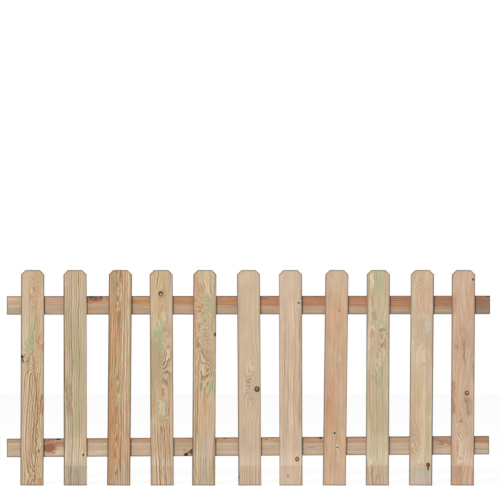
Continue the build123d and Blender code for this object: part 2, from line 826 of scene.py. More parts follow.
class Coat:
    """A board's material in the making: its tones, rings, marks and relief, laid on each other in turn."""

    NOISE_SPAN = (0.25, 0.75)
    FINE_SHADE = (0.14, 0.12)
    BROAD_SHADE = (0.08, 0.07)
    RING_SHADE = (0.07, 0.06)
    CLOUD_SHADE = (0.92, 1.07)
    PATCH_SPAN = (0.36, 0.64)
    PATCHY_SPAN = (0.3, 0.7)
    PATCHY_RINGS = (0.6, 1.3)
    HEART_RAG = 6.0 * MM
    HEART_EDGE = (-3.0, 1.0)
    FOOT_BAND = 74.0
    FOOT_EDGE = 3.0 * MM
    DULLED = (0.93, 0.92, 0.94, 1.0)
    BLEACHED = (1.12, 1.18, 1.24, 1.0)
    BLEACH_SPAN = (15.0 * MM, 75.0 * MM)
    END_GRAIN = (0.66, 0.56, 0.46, 1.0)
    END_GRAIN_SHOW = 0.8
    STREAK_APART = 3.7
    ACCENT_APART = 5.1
    ACCENT_FADE = 30.0 * MM
    ACCENT_RAG = 0.3
    KNOT_RINGS = 0.35
    KNOT_RIM = 0.85
    KNOT_EDGE = 0.05
    ROUGH_SPAN = (0.2, 0.8)
    ROUGHNESS = (0.62, 0.86)
    SPECULAR = 0.22
    FINE_RELIEF = 0.45
    LATE_RELIEF = 0.3
    BROAD_RELIEF = 0.4
    RELIEF_STRENGTH = 0.35
    RELIEF_DEPTH = 0.6 * MM

    def __init__(self, effects: Effects, board: "Board") -> None:
        """Starts the material from the point's place on the board, and the wood that lies there.

        Args:
            effects: The shared node groups.
            board: The board that wears it.
        """
        self.effects = effects
        self.board = board
        self.timber = board.timber
        self.material, self.graph, self.shader = new_material(board.node + "_timber")
        coordinates = self.graph.add("TexCoord")
        self.normal = coordinates.outputs["Normal"]
        self.here = self.graph.result(
            "Mapping", coordinates.outputs["Object"], board.place.centre, (0.0, board.place.turn, 0.0),
            vector_type="TEXTURE",
        )
        self.grain: Socket = self.here
        self.knotted, self.knot_colour = self._knots()
        self._figures()
        self.rings = self._rings()
        self.fibre = self.graph.effect(effects.fibre, Vector=self.grain, Seed=board.seed).outputs
        self.mottle = self.graph.effect(effects.mottle, Vector=self.grain, Seed=board.seed).outputs
        self.colour = self._wood()

    def finish(self) -> Material:
        """Lays the marks on the wood, and joins everything to the shader.

        Returns:
            The material.
        """
        g = self.graph
        self._streaks()
        self._foot_band()
        self._drawn_rings()
        self._lay(1.0, g.grey(self._shade(self.fibre["Fine"], self.FINE_SHADE)), "MULTIPLY")
        self._dirt_and_edge_shade()
        self._lay(self.knotted, self.knot_colour)
        self._sawn_ends()
        g.feed(self.shader.inputs["Base Color"], self.colour)
        rough = g.ramp(self.fibre["Broad"], *self.ROUGH_SPAN, *self.ROUGHNESS)
        g.feed(self.shader.inputs["Roughness"], rough)
        g.feed(self.shader.inputs["Specular IOR Level"], self.SPECULAR)
        self._relief()
        return self.material

    def _at(self, mark: Mark) -> dict[str, float]:
        """Where a mark is, as an effect's inputs."""
        return {"Across": mark.across * MM, "Run": self.board.along(mark.run)}

    def _over(self, patch: Patch) -> dict[str, float]:
        """Where a patch is and how large, as an effect's inputs."""
        return self._at(patch) | {"Half_Width": patch.width * MM, "Half_Length": patch.length * MM}

    def _from_to(self, band: Band) -> dict[str, float]:
        """Where a band runs, as an effect's inputs."""
        ends = {"Start": self.board.along(band.start), "End": self.board.along(band.end)}
        return {"Across": band.across * MM, "Half_Width": band.width / 2 * MM} | ends

    def _lay(self, factor: Feed, tone: Feed, mode: str = "MIX") -> None:
        """Lays a tone on the board's colour."""
        self.colour = self.graph.blend(factor, self.colour, tone, mode)

    def _shade(self, level: Socket, depths: Pair, span: Pair = NOISE_SPAN) -> Socket:
        """A shade about 1, deeper where the board's fibre shows strongly.

        Args:
            level: What shades the wood, from 0 to 1.
            depths: How far it darkens and how far it brightens.
            span: The levels between which it turns from dark to bright.

        Returns:
            The shade.
        """
        low, high = (1.0 + side * depth * self.timber.fibre for side, depth in zip((-1, 1), depths))
        return self.graph.ramp(level, *span, low, high)

    def _rings(self) -> bpy.types.bpy_prop_collection:
        """The growth rings, with the board's swellings in them.

        Returns:
            The rings' sockets.
        """
        lay = self.timber.grain
        swell = self._swells()
        made = self.graph.effect(
            self.effects.rings, Vector=self.grain,
            Pith_Across=lay.pith_across * MM, Pith_Depth=lay.pith_depth * MM,
            Lean_Across=lay.lean_across * MM, Lean_Depth=lay.lean_depth * MM,
            Ring_Width=lay.ring * MM, Wander=lay.wander * MM, Ripple=lay.ripple * MM,
            Swell=swell, Seed=self.board.seed,
        )
        return made.outputs

    def _wood(self) -> Socket:
        """The board's two tones, and its heartwood where it has any.

        Returns:
            The wood's colour.
        """
        g, timber = self.graph, self.timber
        banded = g.times(g.minus(self.rings["Ring Tone"], 0.5), timber.bands)
        patch = g.ramp(g.total(self.mottle["Long"], banded), *self.PATCH_SPAN, 0.0, timber.mix)
        colour = g.blend(patch, timber.base.linear, timber.second.linear)
        if timber.heart:
            ragged = g.minus(self.fibre["Broad"], 0.5)
            radius = g.times_plus(ragged, self.HEART_RAG, self.rings["Radius"])
            inside = g.fall(radius, *((timber.heart + step) * MM for step in self.HEART_EDGE))
            colour = g.blend(inside, colour, timber.heart_tone.linear)
        cloud = g.ramp(self.mottle["Cloud"], *self.NOISE_SPAN, *self.CLOUD_SHADE)
        ring = self._shade(self.rings["Ring Tone"], self.RING_SHADE, (0.0, 1.0))
        broad = self._shade(self.fibre["Broad"], self.BROAD_SHADE)
        return g.blend(1.0, colour, g.grey(g.times(g.times(cloud, ring), broad)), "MULTIPLY")

    def _drawn_rings(self) -> None:
        """Draws the pale early wood and the dark late wood."""
        g, lay = self.graph, self.timber.grain
        shown = self._ring_strength()
        self._lay(g.times(self.rings["Early Wood"], g.times(shown, lay.early)), Tone.SAND.linear)
        self._lay(g.times(self.rings["Late Wood"], shown), lay.late.linear)

    def _ring_strength(self) -> Socket:
        """How strongly the rings show at a point.

        Returns:
            Their strength: less away from their focus, and more or less in the accents.
        """
        g, lay = self.graph, self.timber.grain
        across, _, _ = g.split(self.here)
        aside = g.over(g.minus(across, lay.focus * MM), lay.spread * MM)
        near = g.fading(g.times(aside, aside))
        low, high = (lay.contrast * part for part in self.PATCHY_RINGS)
        strength = g.times(near, g.ramp(self.mottle["Cloud"], *self.PATCHY_SPAN, low, high))
        for number, accent in enumerate(self.timber.accents):
            band = g.effect(
                self.effects.streak, Vector=self.here, **self._from_to(accent), Fade=self.ACCENT_FADE,
                Seed=self.board.seed + number * self.ACCENT_APART, Rag=self.ACCENT_RAG,
            )
            strength = g.times(strength, g.times_plus(band.outputs["Mask"], accent.gain, 1.0))
        return g.math("MINIMUM", strength, 1.0)

    def _figures(self) -> None:
        """Shakes the grain in the board's wavy patches."""
        for figure in self.timber.figures:
            made = self.graph.effect(
                self.effects.figure, Vector=self.here, Grain=self.grain, **self._over(figure),
                Depth=figure.depth * 2 * MM, Pace=figure.pace * MM,
            )
            self.grain = made.outputs["Grain"]

    def _swells(self) -> Feed:
        """How many rings the board's swellings lift at a point.

        Returns:
            Their sum.
        """
        lifted = [0.0]
        for swell in self.timber.swells:
            made = self.graph.effect(
                self.effects.swell, Vector=self.here, **self._over(swell), Rings=swell.rings,
                Roundness=swell.roundness,
            )
            lifted.append(made.outputs["Swell"])
        return self.graph.total(*lifted)

    def _streaks(self) -> None:
        """Lays the board's streaks on it, in order."""
        g = self.graph
        for number, streak in enumerate(self.timber.streaks):
            band = g.effect(
                self.effects.streak, Vector=self.grain, **self._from_to(streak), Waver=streak.waver * MM * 2,
                Fade=streak.fade * MM, Seed=self.board.seed + number * self.STREAK_APART,
                Jitter=streak.jitter * MM * 2, Rag=streak.rag, Slant=streak.slant,
            )
            self._lay(g.times(band.outputs["Mask"], streak.strength), streak.tone.linear)

    def _foot_band(self) -> None:
        """Dulls the foot of the board up to a level line, and bleaches it above that."""
        g, timber = self.graph, self.timber
        _, _, run = g.split(self.here)
        line = self.board.along(self.FOOT_BAND)
        above = g.ramp(run, line - self.FOOT_EDGE, line + self.FOOT_EDGE)
        dull = g.times(g.minus(1.0, above), timber.foot)
        self._lay(dull, g.blend(1.0, self.colour, self.DULLED, "MULTIPLY"))
        start, end = (line + step for step in self.BLEACH_SPAN)
        pale = g.times(above, g.ramp(run, start, end, timber.bleach, 0.0))
        self._lay(pale, g.blend(1.0, self.colour, self.BLEACHED, "MULTIPLY"))

    def _knots(self) -> tuple[Feed, Feed]:
        """Places the knots, and passes the grain round each of them.

        Returns:
            How far a knot covers the wood, and its colour there.
        """
        g = self.graph
        cover, colour = 0.0, Tone.KNOT.linear
        for knot in self.timber.knots:
            made = g.effect(
                self.effects.knot, Vector=self.here, Grain=self.grain, **self._at(knot),
                Radius=knot.radius * MM, Stretch=knot.stretch, Pull=knot.pull,
            )
            self.grain = made.outputs["Grain"]
            rim, face, heart = knot.look.value
            drawn = g.ramp(made.outputs["Rings"], -1.0, 1.0, 0.0, self.KNOT_RINGS)
            inside = g.blend(drawn, face.linear, rim.linear)
            inside = g.blend(made.outputs["Heart"], inside, heart.linear)
            ring = g.times(made.outputs["Rim"], self.KNOT_RIM)
            inside = g.blend(ring, inside, rim.linear)
            own = g.times(g.math("MAXIMUM", made.outputs["Face"], ring), knot.show)
            colour = g.blend(g.ramp(own, 0.0, self.KNOT_EDGE), colour, inside)
            cover = g.math("MAXIMUM", cover, own)
        return cover, colour

    def _dirt_and_edge_shade(self) -> None:
        """Darkens the board along its arrises and round its sawn ends, partly as dirt and partly as painted
        edge shade.
        """
        g, board, timber = self.graph, self.board, self.timber
        edge = g.effect(
            self.effects.outline, Vector=self.here, Half_Width=board.width / 2, Half_Length=board.length / 2,
            Ear=board.ear, Reach=board.EDGE_DIRT_AND_SHADE_REACH,
        )
        aside, _, _ = g.split(self.here)
        dark = g.ramp(aside, -board.width / 4, board.width / 4, *timber.edges)
        side = g.times(edge.outputs["Sides"], dark)
        end = g.times(edge.outputs["Ends"], timber.ends)
        # Partly dirt and partly painted shade: the rounded arrises and end edges are darkened in the colour
        # itself.
        self._lay(g.math("MAXIMUM", side, end), board.edge_dirt_and_shade.linear)

    def _sawn_ends(self) -> None:
        """Darkens the board's end grain."""
        g = self.graph
        sawn = g.effect(self.effects.sawn, Normal=self.normal, Lengthwise=tuple(self.board.place.lengthwise))
        darkened = g.blend(1.0, self.colour, self.END_GRAIN, "MULTIPLY")
        self._lay(g.times(sawn.outputs["Mask"], self.END_GRAIN_SHOW), darkened)

    def _relief(self) -> None:
        """Raises the fibres and the late wood a little."""
        g = self.graph
        height = g.total(
            g.times(self.fibre["Fine"], self.FINE_RELIEF),
            g.times(self.rings["Late Wood"], self.LATE_RELIEF),
            g.times(self.fibre["Broad"], self.BROAD_RELIEF),
        )
        bump = g.add("Bump")
        g.feed(bump.inputs["Strength"], self.RELIEF_STRENGTH)
        g.feed(bump.inputs["Distance"], self.RELIEF_DEPTH)
        g.feed(bump.inputs["Height"], height)
        g.feed(self.shader.inputs["Normal"], bump.outputs[0])


def new_material(name: str) -> tuple[Material, Graph, Node]:
    """Makes a material that has only its Principled shader.

    Args:
        name: Its name.

    Returns:
        The material, its graph and the shader.
    """
    made = bpy.data.materials.new(name)
    made.use_nodes = True
    return made, Graph(made.node_tree), made.node_tree.nodes["Principled BSDF"]


def new_object(name: str, bm: BMesh, material: Material) -> Object:
    """Makes an object of a modelled mesh, and puts it in the scene.

    Args:
        name: The object's and the mesh's name.
        bm: The modelled mesh, which is freed.
        material: What it is made of.

    Returns:
        The object.
    """
    mesh = bpy.data.meshes.new(name)
    bm.to_mesh(mesh)
    bm.free()
    mesh.materials.append(material)
    made = bpy.data.objects.new(name, mesh)
    bpy.context.scene.collection.objects.link(made)
    return made


def round_edges(bm: BMesh, edges: list[BMEdge], radius: float, segments: int = 2) -> None:
    """Rounds edges.

    Args:
        bm: The mesh.
        edges: The edges.
        radius: How far from each edge the round starts.
        segments: How many facets it has.
    """
    bmesh.ops.bevel(
        bm, geom=edges, affect="EDGES", offset=radius, offset_type="OFFSET",
        segments=segments, profile=0.5, material=-1,
    )


@dataclass(frozen=True)
class Place:
    """Where a board lies: its middle, and its turn about +Y from upright, in radians."""

    centre: Vector
    turn: float

    NEAR_END = 3.0 * MM

    @classmethod
    def of(cls, node: str) -> "Place":
        """Reads a board's place from its solid.

        Args:
            node: The solid's name.

        Returns:
            Its place, with the board's length running up, or to the right on a rail.
        """
        low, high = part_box(node)
        size = high - low
        axis = 0 if size.x > size.z else 2
        corners = [vertex.co for vertex in frame["nodes"][node].data.vertices]
        start = [corner for corner in corners if corner[axis] < low[axis] + cls.NEAR_END]
        end = [corner for corner in corners if corner[axis] > high[axis] - cls.NEAR_END]
        first = sum(start, Vector()) / len(start)
        last = sum(end, Vector()) / len(end)
        along = last - first
        centre = (first + last) / 2
        centre.y = (low.y + high.y) / 2
        return cls(centre, math.atan2(along.x, along.z))

    @property
    def matrix(self) -> Matrix:
        """Takes the board from its own frame to the part's."""
        return Matrix.Translation(self.centre) @ Matrix.Rotation(self.turn, 4, "Y")

    @property
    def lengthwise(self) -> Vector:
        """The board's direction from its foot, or from its left-hand end."""
        return Matrix.Rotation(self.turn, 3, "Y") @ Vector((0.0, 0.0, 1.0))


@dataclass
class Board:
    """A planed board with eased arrises, modelled upright about its own middle and then set in its place.

    Attributes:
        node: The solid that it stands for.
        timber: Its finish.
        width: Its width.
        thickness: Its thickness.
        length: Its length.
        arris: The radius of its long arrises.
        ear: How much of each corner is sawn off its head.
        seed: What its random grain starts from.
        slot: The record's material slot; not used.
        edge_dirt_and_shade: The colour of the dirt and painted edge shade along its arrises and sawn ends.
    """

    node: str
    timber: Timber
    width: float
    thickness: float
    length: float
    arris: float
    ear: float
    seed: float
    slot: str
    edge_dirt_and_shade: Tone = Tone.SMOKE
    place: Place = field(init=False)

    END_EASE = 0.8 * MM
    ARRIS_FACETS = 3
    CELL = 3.0 * MM
    # How far the dirt and painted edge shade reach in from the board's outline.
    EDGE_DIRT_AND_SHADE_REACH = 6.2 * MM
    SHARP = math.radians(40)
    STRAIGHT = 0.999
    UV_GAP = 4.0 * MM
    END_LOOKS = 0.6
    FACE_LOOKS = 0.71
    MERGED = 1e-7
    SNAPPED = 1e-5
    NOISE_APART = (3.1, 1.3, 0.7)
    CUP_CELLS = Vector((22.0, 22.0, 4.0))
    RIPPLE_CELLS = Vector((90.0, 90.0, 26.0))
    CUP = 0.10
    RIPPLE = 0.07
    WEAR = 0.12

    def __post_init__(self) -> None:
        """Takes the board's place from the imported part."""
        self.place = Place.of(self.node)

    @property
    def girth(self) -> float:
        """The width of the strip that the board's four long sides unfold to."""
        return 2 * (self.width + self.thickness) + 4 * self.UV_GAP

    @property
    def folds(self) -> int:
        """How many lengths that strip is cut into, so that they fill a square."""
        return max(1, round(math.sqrt(self.length / self.girth)))

    def along(self, run: float) -> float:
        """Turns millimetres from the board's foot into metres from its middle."""
        return run * MM - self.length / 2

    def build(self, effects: Effects) -> Object:
        """Models the board, dresses it and puts it in its place.

        Args:
            effects: The shared node groups.

        Returns:
            The board's object.
        """
        bm = bmesh.new()
        bmesh.ops.create_cube(bm, size=1.0)
        bmesh.ops.scale(bm, vec=(self.width, self.thickness, self.length), verts=bm.verts)
        self._saw_ears(bm)
        self._ease(bm)
        self._cut_grid(bm)
        self._weather(bm)
        self._unwrap(bm)
        bmesh.ops.transform(bm, matrix=self.place.matrix, verts=bm.verts)
        bmesh.ops.recalc_face_normals(bm, faces=bm.faces)
        for edge in bm.edges:
            edge.smooth = edge.calc_face_angle(0.0) < self.SHARP
        for face in bm.faces:
            face.smooth = True
        made = new_object(self.node + "_board", bm, Coat(effects, self).finish())
        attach(made, "root")
        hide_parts(self.node)
        return made

    def _saw_ears(self, bm: BMesh) -> None:
        """Saws the corners off the board's head.

        Args:
            bm: The board's mesh.
        """
        if not self.ear:
            return
        for side in (-1, 1):
            on_cut = Vector((side * (self.width / 2 - self.ear), 0.0, self.length / 2))
            outwards = Vector((side, 0.0, 1.0)).normalized()
            everything = bm.verts[:] + bm.edges[:] + bm.faces[:]
            cut = bmesh.ops.bisect_plane(
                bm, geom=everything, dist=self.MERGED, plane_co=on_cut, plane_no=outwards, clear_outer=True
            )
            rim = [part for part in cut["geom_cut"] if isinstance(part, BMEdge)]
            bmesh.ops.contextual_create(bm, geom=rim)

    def _ease(self, bm: BMesh) -> None:
        """Rounds the long arrises, then eases the sawn ends.

        Args:
            bm: The board's mesh.
        """
        lengthwise = [edge for edge in bm.edges if self._runs_lengthwise(edge)]
        round_edges(bm, lengthwise, self.arris, self.ARRIS_FACETS)
        sharp = [edge for edge in bm.edges if edge.calc_face_angle(0.0) > self.SHARP]
        round_edges(bm, sharp, self.END_EASE)

    def _runs_lengthwise(self, edge: BMEdge) -> bool:
        """Whether an edge runs straight along the board."""
        step = (edge.verts[1].co - edge.verts[0].co).normalized()
        return abs(step.z) > self.STRAIGHT

    def _cut_grid(self, bm: BMesh) -> None:
        """Cuts every face into cells, so that the surface can be weathered.

        Args:
            bm: The board's mesh.
        """
        for axis, size in ((2, self.length), (0, self.width), (1, self.thickness)):
            count = round(size / self.CELL)
            if axis == 2:
                count = self.folds * round(count / self.folds)
            normal = Vector([float(axis == other) for other in range(3)])
            for step in range(1, count):
                level = normal * (size * step / count - size / 2)
                everything = bm.verts[:] + bm.edges[:] + bm.faces[:]
                bmesh.ops.bisect_plane(
                    bm, geom=everything, dist=self.SNAPPED, plane_co=level, plane_no=normal
                )

    def _weather(self, bm: BMesh) -> None:
        """Gives the planed faces their slight cup, ripple and worn arrises.

        Args:
            bm: The board's mesh.
        """
        bm.normal_update()
        start = Vector([self.seed * apart for apart in self.NOISE_APART])
        steps = []
        for vertex in bm.verts:
            cup = noise.noise(vertex.co * self.CUP_CELLS + start)
            ripple = noise.noise(vertex.co * self.RIPPLE_CELLS + start)
            outwards = self.CUP * cup + self.RIPPLE * ripple - self.WEAR
            steps.append(vertex.normal * outwards * MM + self._dent(vertex.co))
        for vertex, step in zip(bm.verts, steps):
            vertex.co += step

    def _dent(self, point: Vector) -> Vector:
        """How far the board's nicks push a point of its front in.

        Args:
            point: The point, in the board's own frame.

        Returns:
            The step that it takes.
        """
        push = Vector()
        if point.y > -self.thickness / 4:
            return push
        for nick in self.timber.nicks:
            middle = Vector((nick.across * MM, self.along(nick.run)))
            away = (Vector((point.x, point.z)) - middle).length / (nick.radius * MM)
            on_arris = abs(middle.x) > self.width / 2 - nick.radius * MM
            inwards = Vector((-math.copysign(on_arris, middle.x), 1.0, 0.0)).normalized()
            push += inwards * nick.depth * MM * max(0.0, 1.0 - away * away)
        return push

    def _unwrap(self, bm: BMesh) -> None:
        """Unfolds the four long sides into strips cut to fill a square, with the sawn ends above them.

        Args:
            bm: The board's mesh.
        """
        layer = bm.loops.layers.uv.new("OFBake")
        fold_length = self.length / self.folds
        ends = fold_length + 2 * self.UV_GAP
        square = max(ends + self.thickness + self.UV_GAP, self.girth * self.folds)
        for face in bm.faces:
            normal = face.normal
            middle = face.calc_center_median()
            fold = min(self.folds - 1, int((middle.z + self.length / 2) / fold_length))
            for loop in face.loops:
                point = loop.vert.co + Vector((self.width, self.thickness, self.length)) / 2
                if abs(normal.z) > self.END_LOOKS:
                    u = point.x + (self.width + self.UV_GAP) * (normal.z > 0)
                    v = ends + point.y
                elif abs(normal.y) > self.FACE_LOOKS:
                    u = point.x + (self.width + self.UV_GAP) * (normal.y > 0) + self.girth * fold
                    v = point.z - fold * fold_length + self.UV_GAP
                else:
                    strip = 2 * (self.width + self.UV_GAP) + (self.thickness + self.UV_GAP) * (normal.x > 0)
                    u = strip + point.y + self.girth * fold
                    v = point.z - fold * fold_length + self.UV_GAP
                loop[layer].uv = (u / square, v / square)


@dataclass(frozen=True)
class Galvanised:
    """The finish of the nails: dull zinc with a spangle."""

    tone: Tone = Tone.ZINC

    CRYSTALS = 900.0
    SPAN = (0.3, 0.7)
    SHADES = (0.75, 1.1)
    ROUGHNESS = (0.55, 0.42)
    METALLIC = 0.85

    def material(self) -> Material:
        """Makes the finish.

        Returns:
            The material.
        """
        made, g, shader = new_material("galvanised_nail")
        spangle = g.speckle(g.add("TexCoord").outputs["Object"], self.CRYSTALS)
        shade = g.grey(g.ramp(spangle, *self.SPAN, *self.SHADES))
        g.feed(shader.inputs["Base Color"], g.blend(1.0, self.tone.linear, shade, "MULTIPLY"))
        g.feed(shader.inputs["Roughness"], g.ramp(spangle, *self.SPAN, *self.ROUGHNESS))
        g.feed(shader.inputs["Metallic"], self.METALLIC)
        return made


@dataclass
class Nails:
    """The nails that hold the pales, with their flush heads in the rails' backs.

    Attributes:
        pales: The pales' node names.
        rails: The rails' node names.
        head: The width of a nail's head.
        shank: How long the modelled part is, half of it in the wood.
        rim: How far the head's edge is rounded.
        sideways: How far each of a crossing's two nails is from the pale's centre line.
        upwards: How far they are above and below the rail's centre line.
    """

    pales: list[str]
    rails: list[str]
    head: float = 7.0 * MM
    shank: float = 0.8 * MM
    rim: float = 0.25 * MM
    sideways: float = 22.0 * MM
    upwards: float = 14.0 * MM

    SIDES = 16

    def build(self) -> Object:
        """Models every nail's head in one mesh, and dresses it.

        Returns:
            The nails' object.
        """
        bm = bmesh.new()
        for rail in self.rails:
            for pale in self.pales:
                for side in (-1, 1):
                    self._nail(bm, rail, pale, side)
        made = new_object("rail_nails", bm, Galvanised().material())
        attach(made, "root")
        return made

    def _nail(self, bm: BMesh, rail: str, pale: str, side: int) -> None:
        """Adds one nail's head where a pale crosses a rail, with a short shank in the wood.

        Args:
            bm: The nails' mesh.
            rail: The rail's node name.
            pale: The pale's node name.
            side: 1 for the crossing's upper nail and -1 for its lower one.
        """
        rail_place, pale_place = Place.of(rail), Place.of(pale)
        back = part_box(rail)[1].y
        level = rail_place.centre.z + side * self.upwards
        lean = pale_place.lengthwise
        across = pale_place.centre.x + lean.x / lean.z * (level - pale_place.centre.z)
        place = Vector((across + side * self.sideways, back, level))
        turn = Matrix.Rotation(math.radians(-90), 4, "X")
        made = bmesh.ops.create_cone(
            bm, cap_ends=True, cap_tris=False, segments=self.SIDES, radius1=self.head / 2,
            radius2=self.head / 2, depth=self.shank, matrix=Matrix.Translation(place) @ turn,
        )
        cap = max((face for vertex in made["verts"] for face in vertex.link_faces), key=self._backwards)
        round_edges(bm, cap.edges[:], self.rim)

    @staticmethod
    def _backwards(face: BMFace) -> float:
        """How far back a face lies."""
        return face.calc_center_median().y


# Each mark's numbers stand in the order of its class's fields. A streak so reads: across, width, start, end,
# tone, strength, waver, fade, jitter, rag and slant.
PALE_1 = Timber(
    Tone.FAWN, Tone.HONEY,
    Grain(95, 36, 10, 14, ring=8.5, wander=24, contrast=0.46, ripple=4, spread=80, late=Tone.TAN, early=0.75),
    knots=(
        Knot(38, 520, 7, Look.SOFT, 1.2, 1.0, 0.25),
        Knot(-40, 478, 6.5, Look.DEAD, 1.0, 0.4), Knot(-35, 464, 4, Look.DARK, 1.6, 0.3, 0.8),
        Knot(24, 128, 3, Look.BROWN, 0.8),
    ),
    streaks=(
        Streak(0, 120, -50, 850, Tone.CREAM, 0.06, 0, 40, 0, 0.0),
        Streak(12, 26, 740, 812, Tone.UMBER, 0.3, 6, 12, 8, 1.0),
        Streak(-28, 34, 600, 850, Tone.ROSY, 0.5, 4),
        Streak(26, 46, -50, 850, Tone.HONEY, 0.6, 6),
        Streak(10, 30, 690, 748, Tone.AMBER, 0.6, 4, 12, 5, 0.9),
        Streak(14, 9, 610, 695, Tone.AMBER, 0.75, 5, 15, 4, 0.6),
        Streak(-6, 36, 480, 615, Tone.MINT, 0.8, 6, 25, 4, 0.75, 0.2),
        Streak(4, 9, 520, 640, Tone.SAGE, 0.7, 4, 25, 4, 0.6, 0.18),
        Streak(30, 8, 498, 572, Tone.TERRA, 0.9, 3, 10, 5, 0.5, 0.16),
        Streak(33, 6, 492, 562, Tone.RUSSET, 0.7, 3, 10, 5, 0.5, -0.24),
        Streak(-22, 5, 440, 492, Tone.UMBER, 0.8, 5, 10, 8, 0.4, -0.4),
        Streak(-12, 4, 425, 500, Tone.BARK, 0.7, 5, 10, 8, 0.4, 0.2),
        Streak(5, 5, 430, 512, Tone.UMBER, 0.8, 5, 10, 9, 0.4, -0.2),
        Streak(9, 5, -10, 430, Tone.STRAW, 0.6, 5, 30, 5, 0.4),
        Streak(12, 4.2, 300, 465, Tone.BARK, 0.95, 4, 20, 5, 0.2, -0.1),
        Streak(16, 4.8, -10, 320, Tone.BARK, 1.0, 5, 20, 6, 0.2, 0.04),
        Streak(28, 3.6, 170, 340, Tone.UMBER, 0.9, 4, 20, 4, 0.2),
        Streak(2, 3, -10, 430, Tone.UMBER, 0.8, 5, 40, 3, 0.3),
        Streak(-8, 2.6, 0, 420, Tone.UMBER, 0.6, 5, 40, 2, 0.4),
        Streak(34, 14, 258, 345, Tone.RUSSET, 0.95, 3, 10, 4),
        Streak(32, 5, 265, 338, Tone.MAROON, 0.7, 4, 12, 4, 0.6),
        Streak(34, 14, 150, 215, Tone.OLIVE, 0.6, 3, 20, 4, 0.6),
        Streak(27, 5, 110, 152, Tone.BARK, 0.9, 3, 8, 4, 0.2, 0.7),
        Streak(34, 14, 92, 132, Tone.TERRA, 0.6, 3, 10, 4, 0.6),
        Streak(30, 16, -30, 34, Tone.RUSSET, 0.85, 4, 10, 3),
    ),
    swells=(
        Swell(6, 772, 30, 18, 5), Swell(10, 700, 14, 34, 3), Swell(-6, 470, 24, 34, 4),
        Swell(12, 36, 20, 34, 3, 1.4),
    ),
    figures=(
        Figure(6, 770, 40, 34, 6, 14), Figure(12, 690, 26, 60, 8), Figure(0, 500, 42, 90, 9, 14),
        Figure(16, 180, 26, 240, 4, 15),
    ),
    accents=(Accent(-4, 80, -50, 450, 1.3), Accent(-34, 50, 520, 850, -0.8), Accent(6, 70, 440, 560, 0.6)),
    nicks=(Nick(-42, 477, 8, 3.5),), edges=(0.8, 0.46),
)
PALE_2 = Timber(
    Tone.FAWN, Tone.OLIVE,
    Grain(-120, 60, 4, 0, ring=7.5, wander=16, contrast=0.6, ripple=3, late=Tone.UMBER, early=0.4),
    knots=(Knot(30, 114, 3.2, Look.DEAD, 1.1),),
    streaks=(
        Streak(0, 90, 700, 850, Tone.PEACH, 0.35, 4, 60),
        Streak(-37, 11, 330, 790, Tone.RUSSET, 0.5, 3, 60, 2, 0.6),
        Streak(-39, 7, 330, 600, Tone.RUSSET, 0.6, 3, 60, 2, 0.3),
        Streak(13, 16, 628, 690, Tone.MINT, 0.7, 4, 15, 5, 0.8),
        Streak(-2, 64, 400, 650, Tone.OLIVE, 0.7, 8, 80, 0, 0.6),
        Streak(22, 36, 180, 560, Tone.OLIVE, 0.55, 6, 60),
        Streak(-4, 12, 415, 475, Tone.SAGE, 0.7, 6, 15, 6, 0.9),
        Streak(-24, 28, 255, 390, Tone.SAGE, 0.7, 5, 25, 3, 0.8),
        Streak(-30, 3, 240, 400, Tone.BARK, 0.8, 3, 30, 4, 0.4),
        Streak(-21, 3, 270, 380, Tone.BARK, 0.6, 4, 30, 4, 0.4),
        Streak(-14, 6, 250, 305, Tone.TERRA, 0.7, 3, 10, 3, 0.6),
        Streak(3, 9, 165, 335, Tone.MINT, 0.85, 4, 30, 3, 0.6),
        Streak(2, 7, 90, 170, Tone.MINT, 0.5, 4, 30, 3, 0.6),
        Streak(0, 90, 75, 190, Tone.SAND, 0.55, 4),
        Streak(0, 90, -50, 80, Tone.MIST, 0.45, 4, 6, 0, 0.2),
        Streak(28, 16, 80, 175, Tone.PEACH, 0.5, 4, 15, 2),
        Streak(40, 7, 100, 600, Tone.ROSY, 0.85, 2),
        Streak(-19, 3.6, -20, 72, Tone.BARK, 0.75, 3, 15, 3, 0.3),
        Streak(-8, 3, -20, 66, Tone.BARK, 0.6, 3, 15, 3, 0.3),
        Streak(5, 3.4, -20, 70, Tone.UMBER, 0.7, 3, 15, 2, 0.3),
        Streak(16, 3, -20, 70, Tone.UMBER, 0.6, 3, 15, 2, 0.3),
    ),
    figures=(
        Figure(-6, 620, 34, 190, 3, 20), Figure(-20, 320, 20, 70, 6), Figure(-10, 30, 30, 44, 5, 16),
    ),
    accents=(Accent(34, 20, -50, 850, -0.4), Accent(-16, 40, -50, 700, 0.4)),
    foot=1.0, mix=0.42, bands=0.4, bleach=0.9, edges=(0.95, 0.0),
)
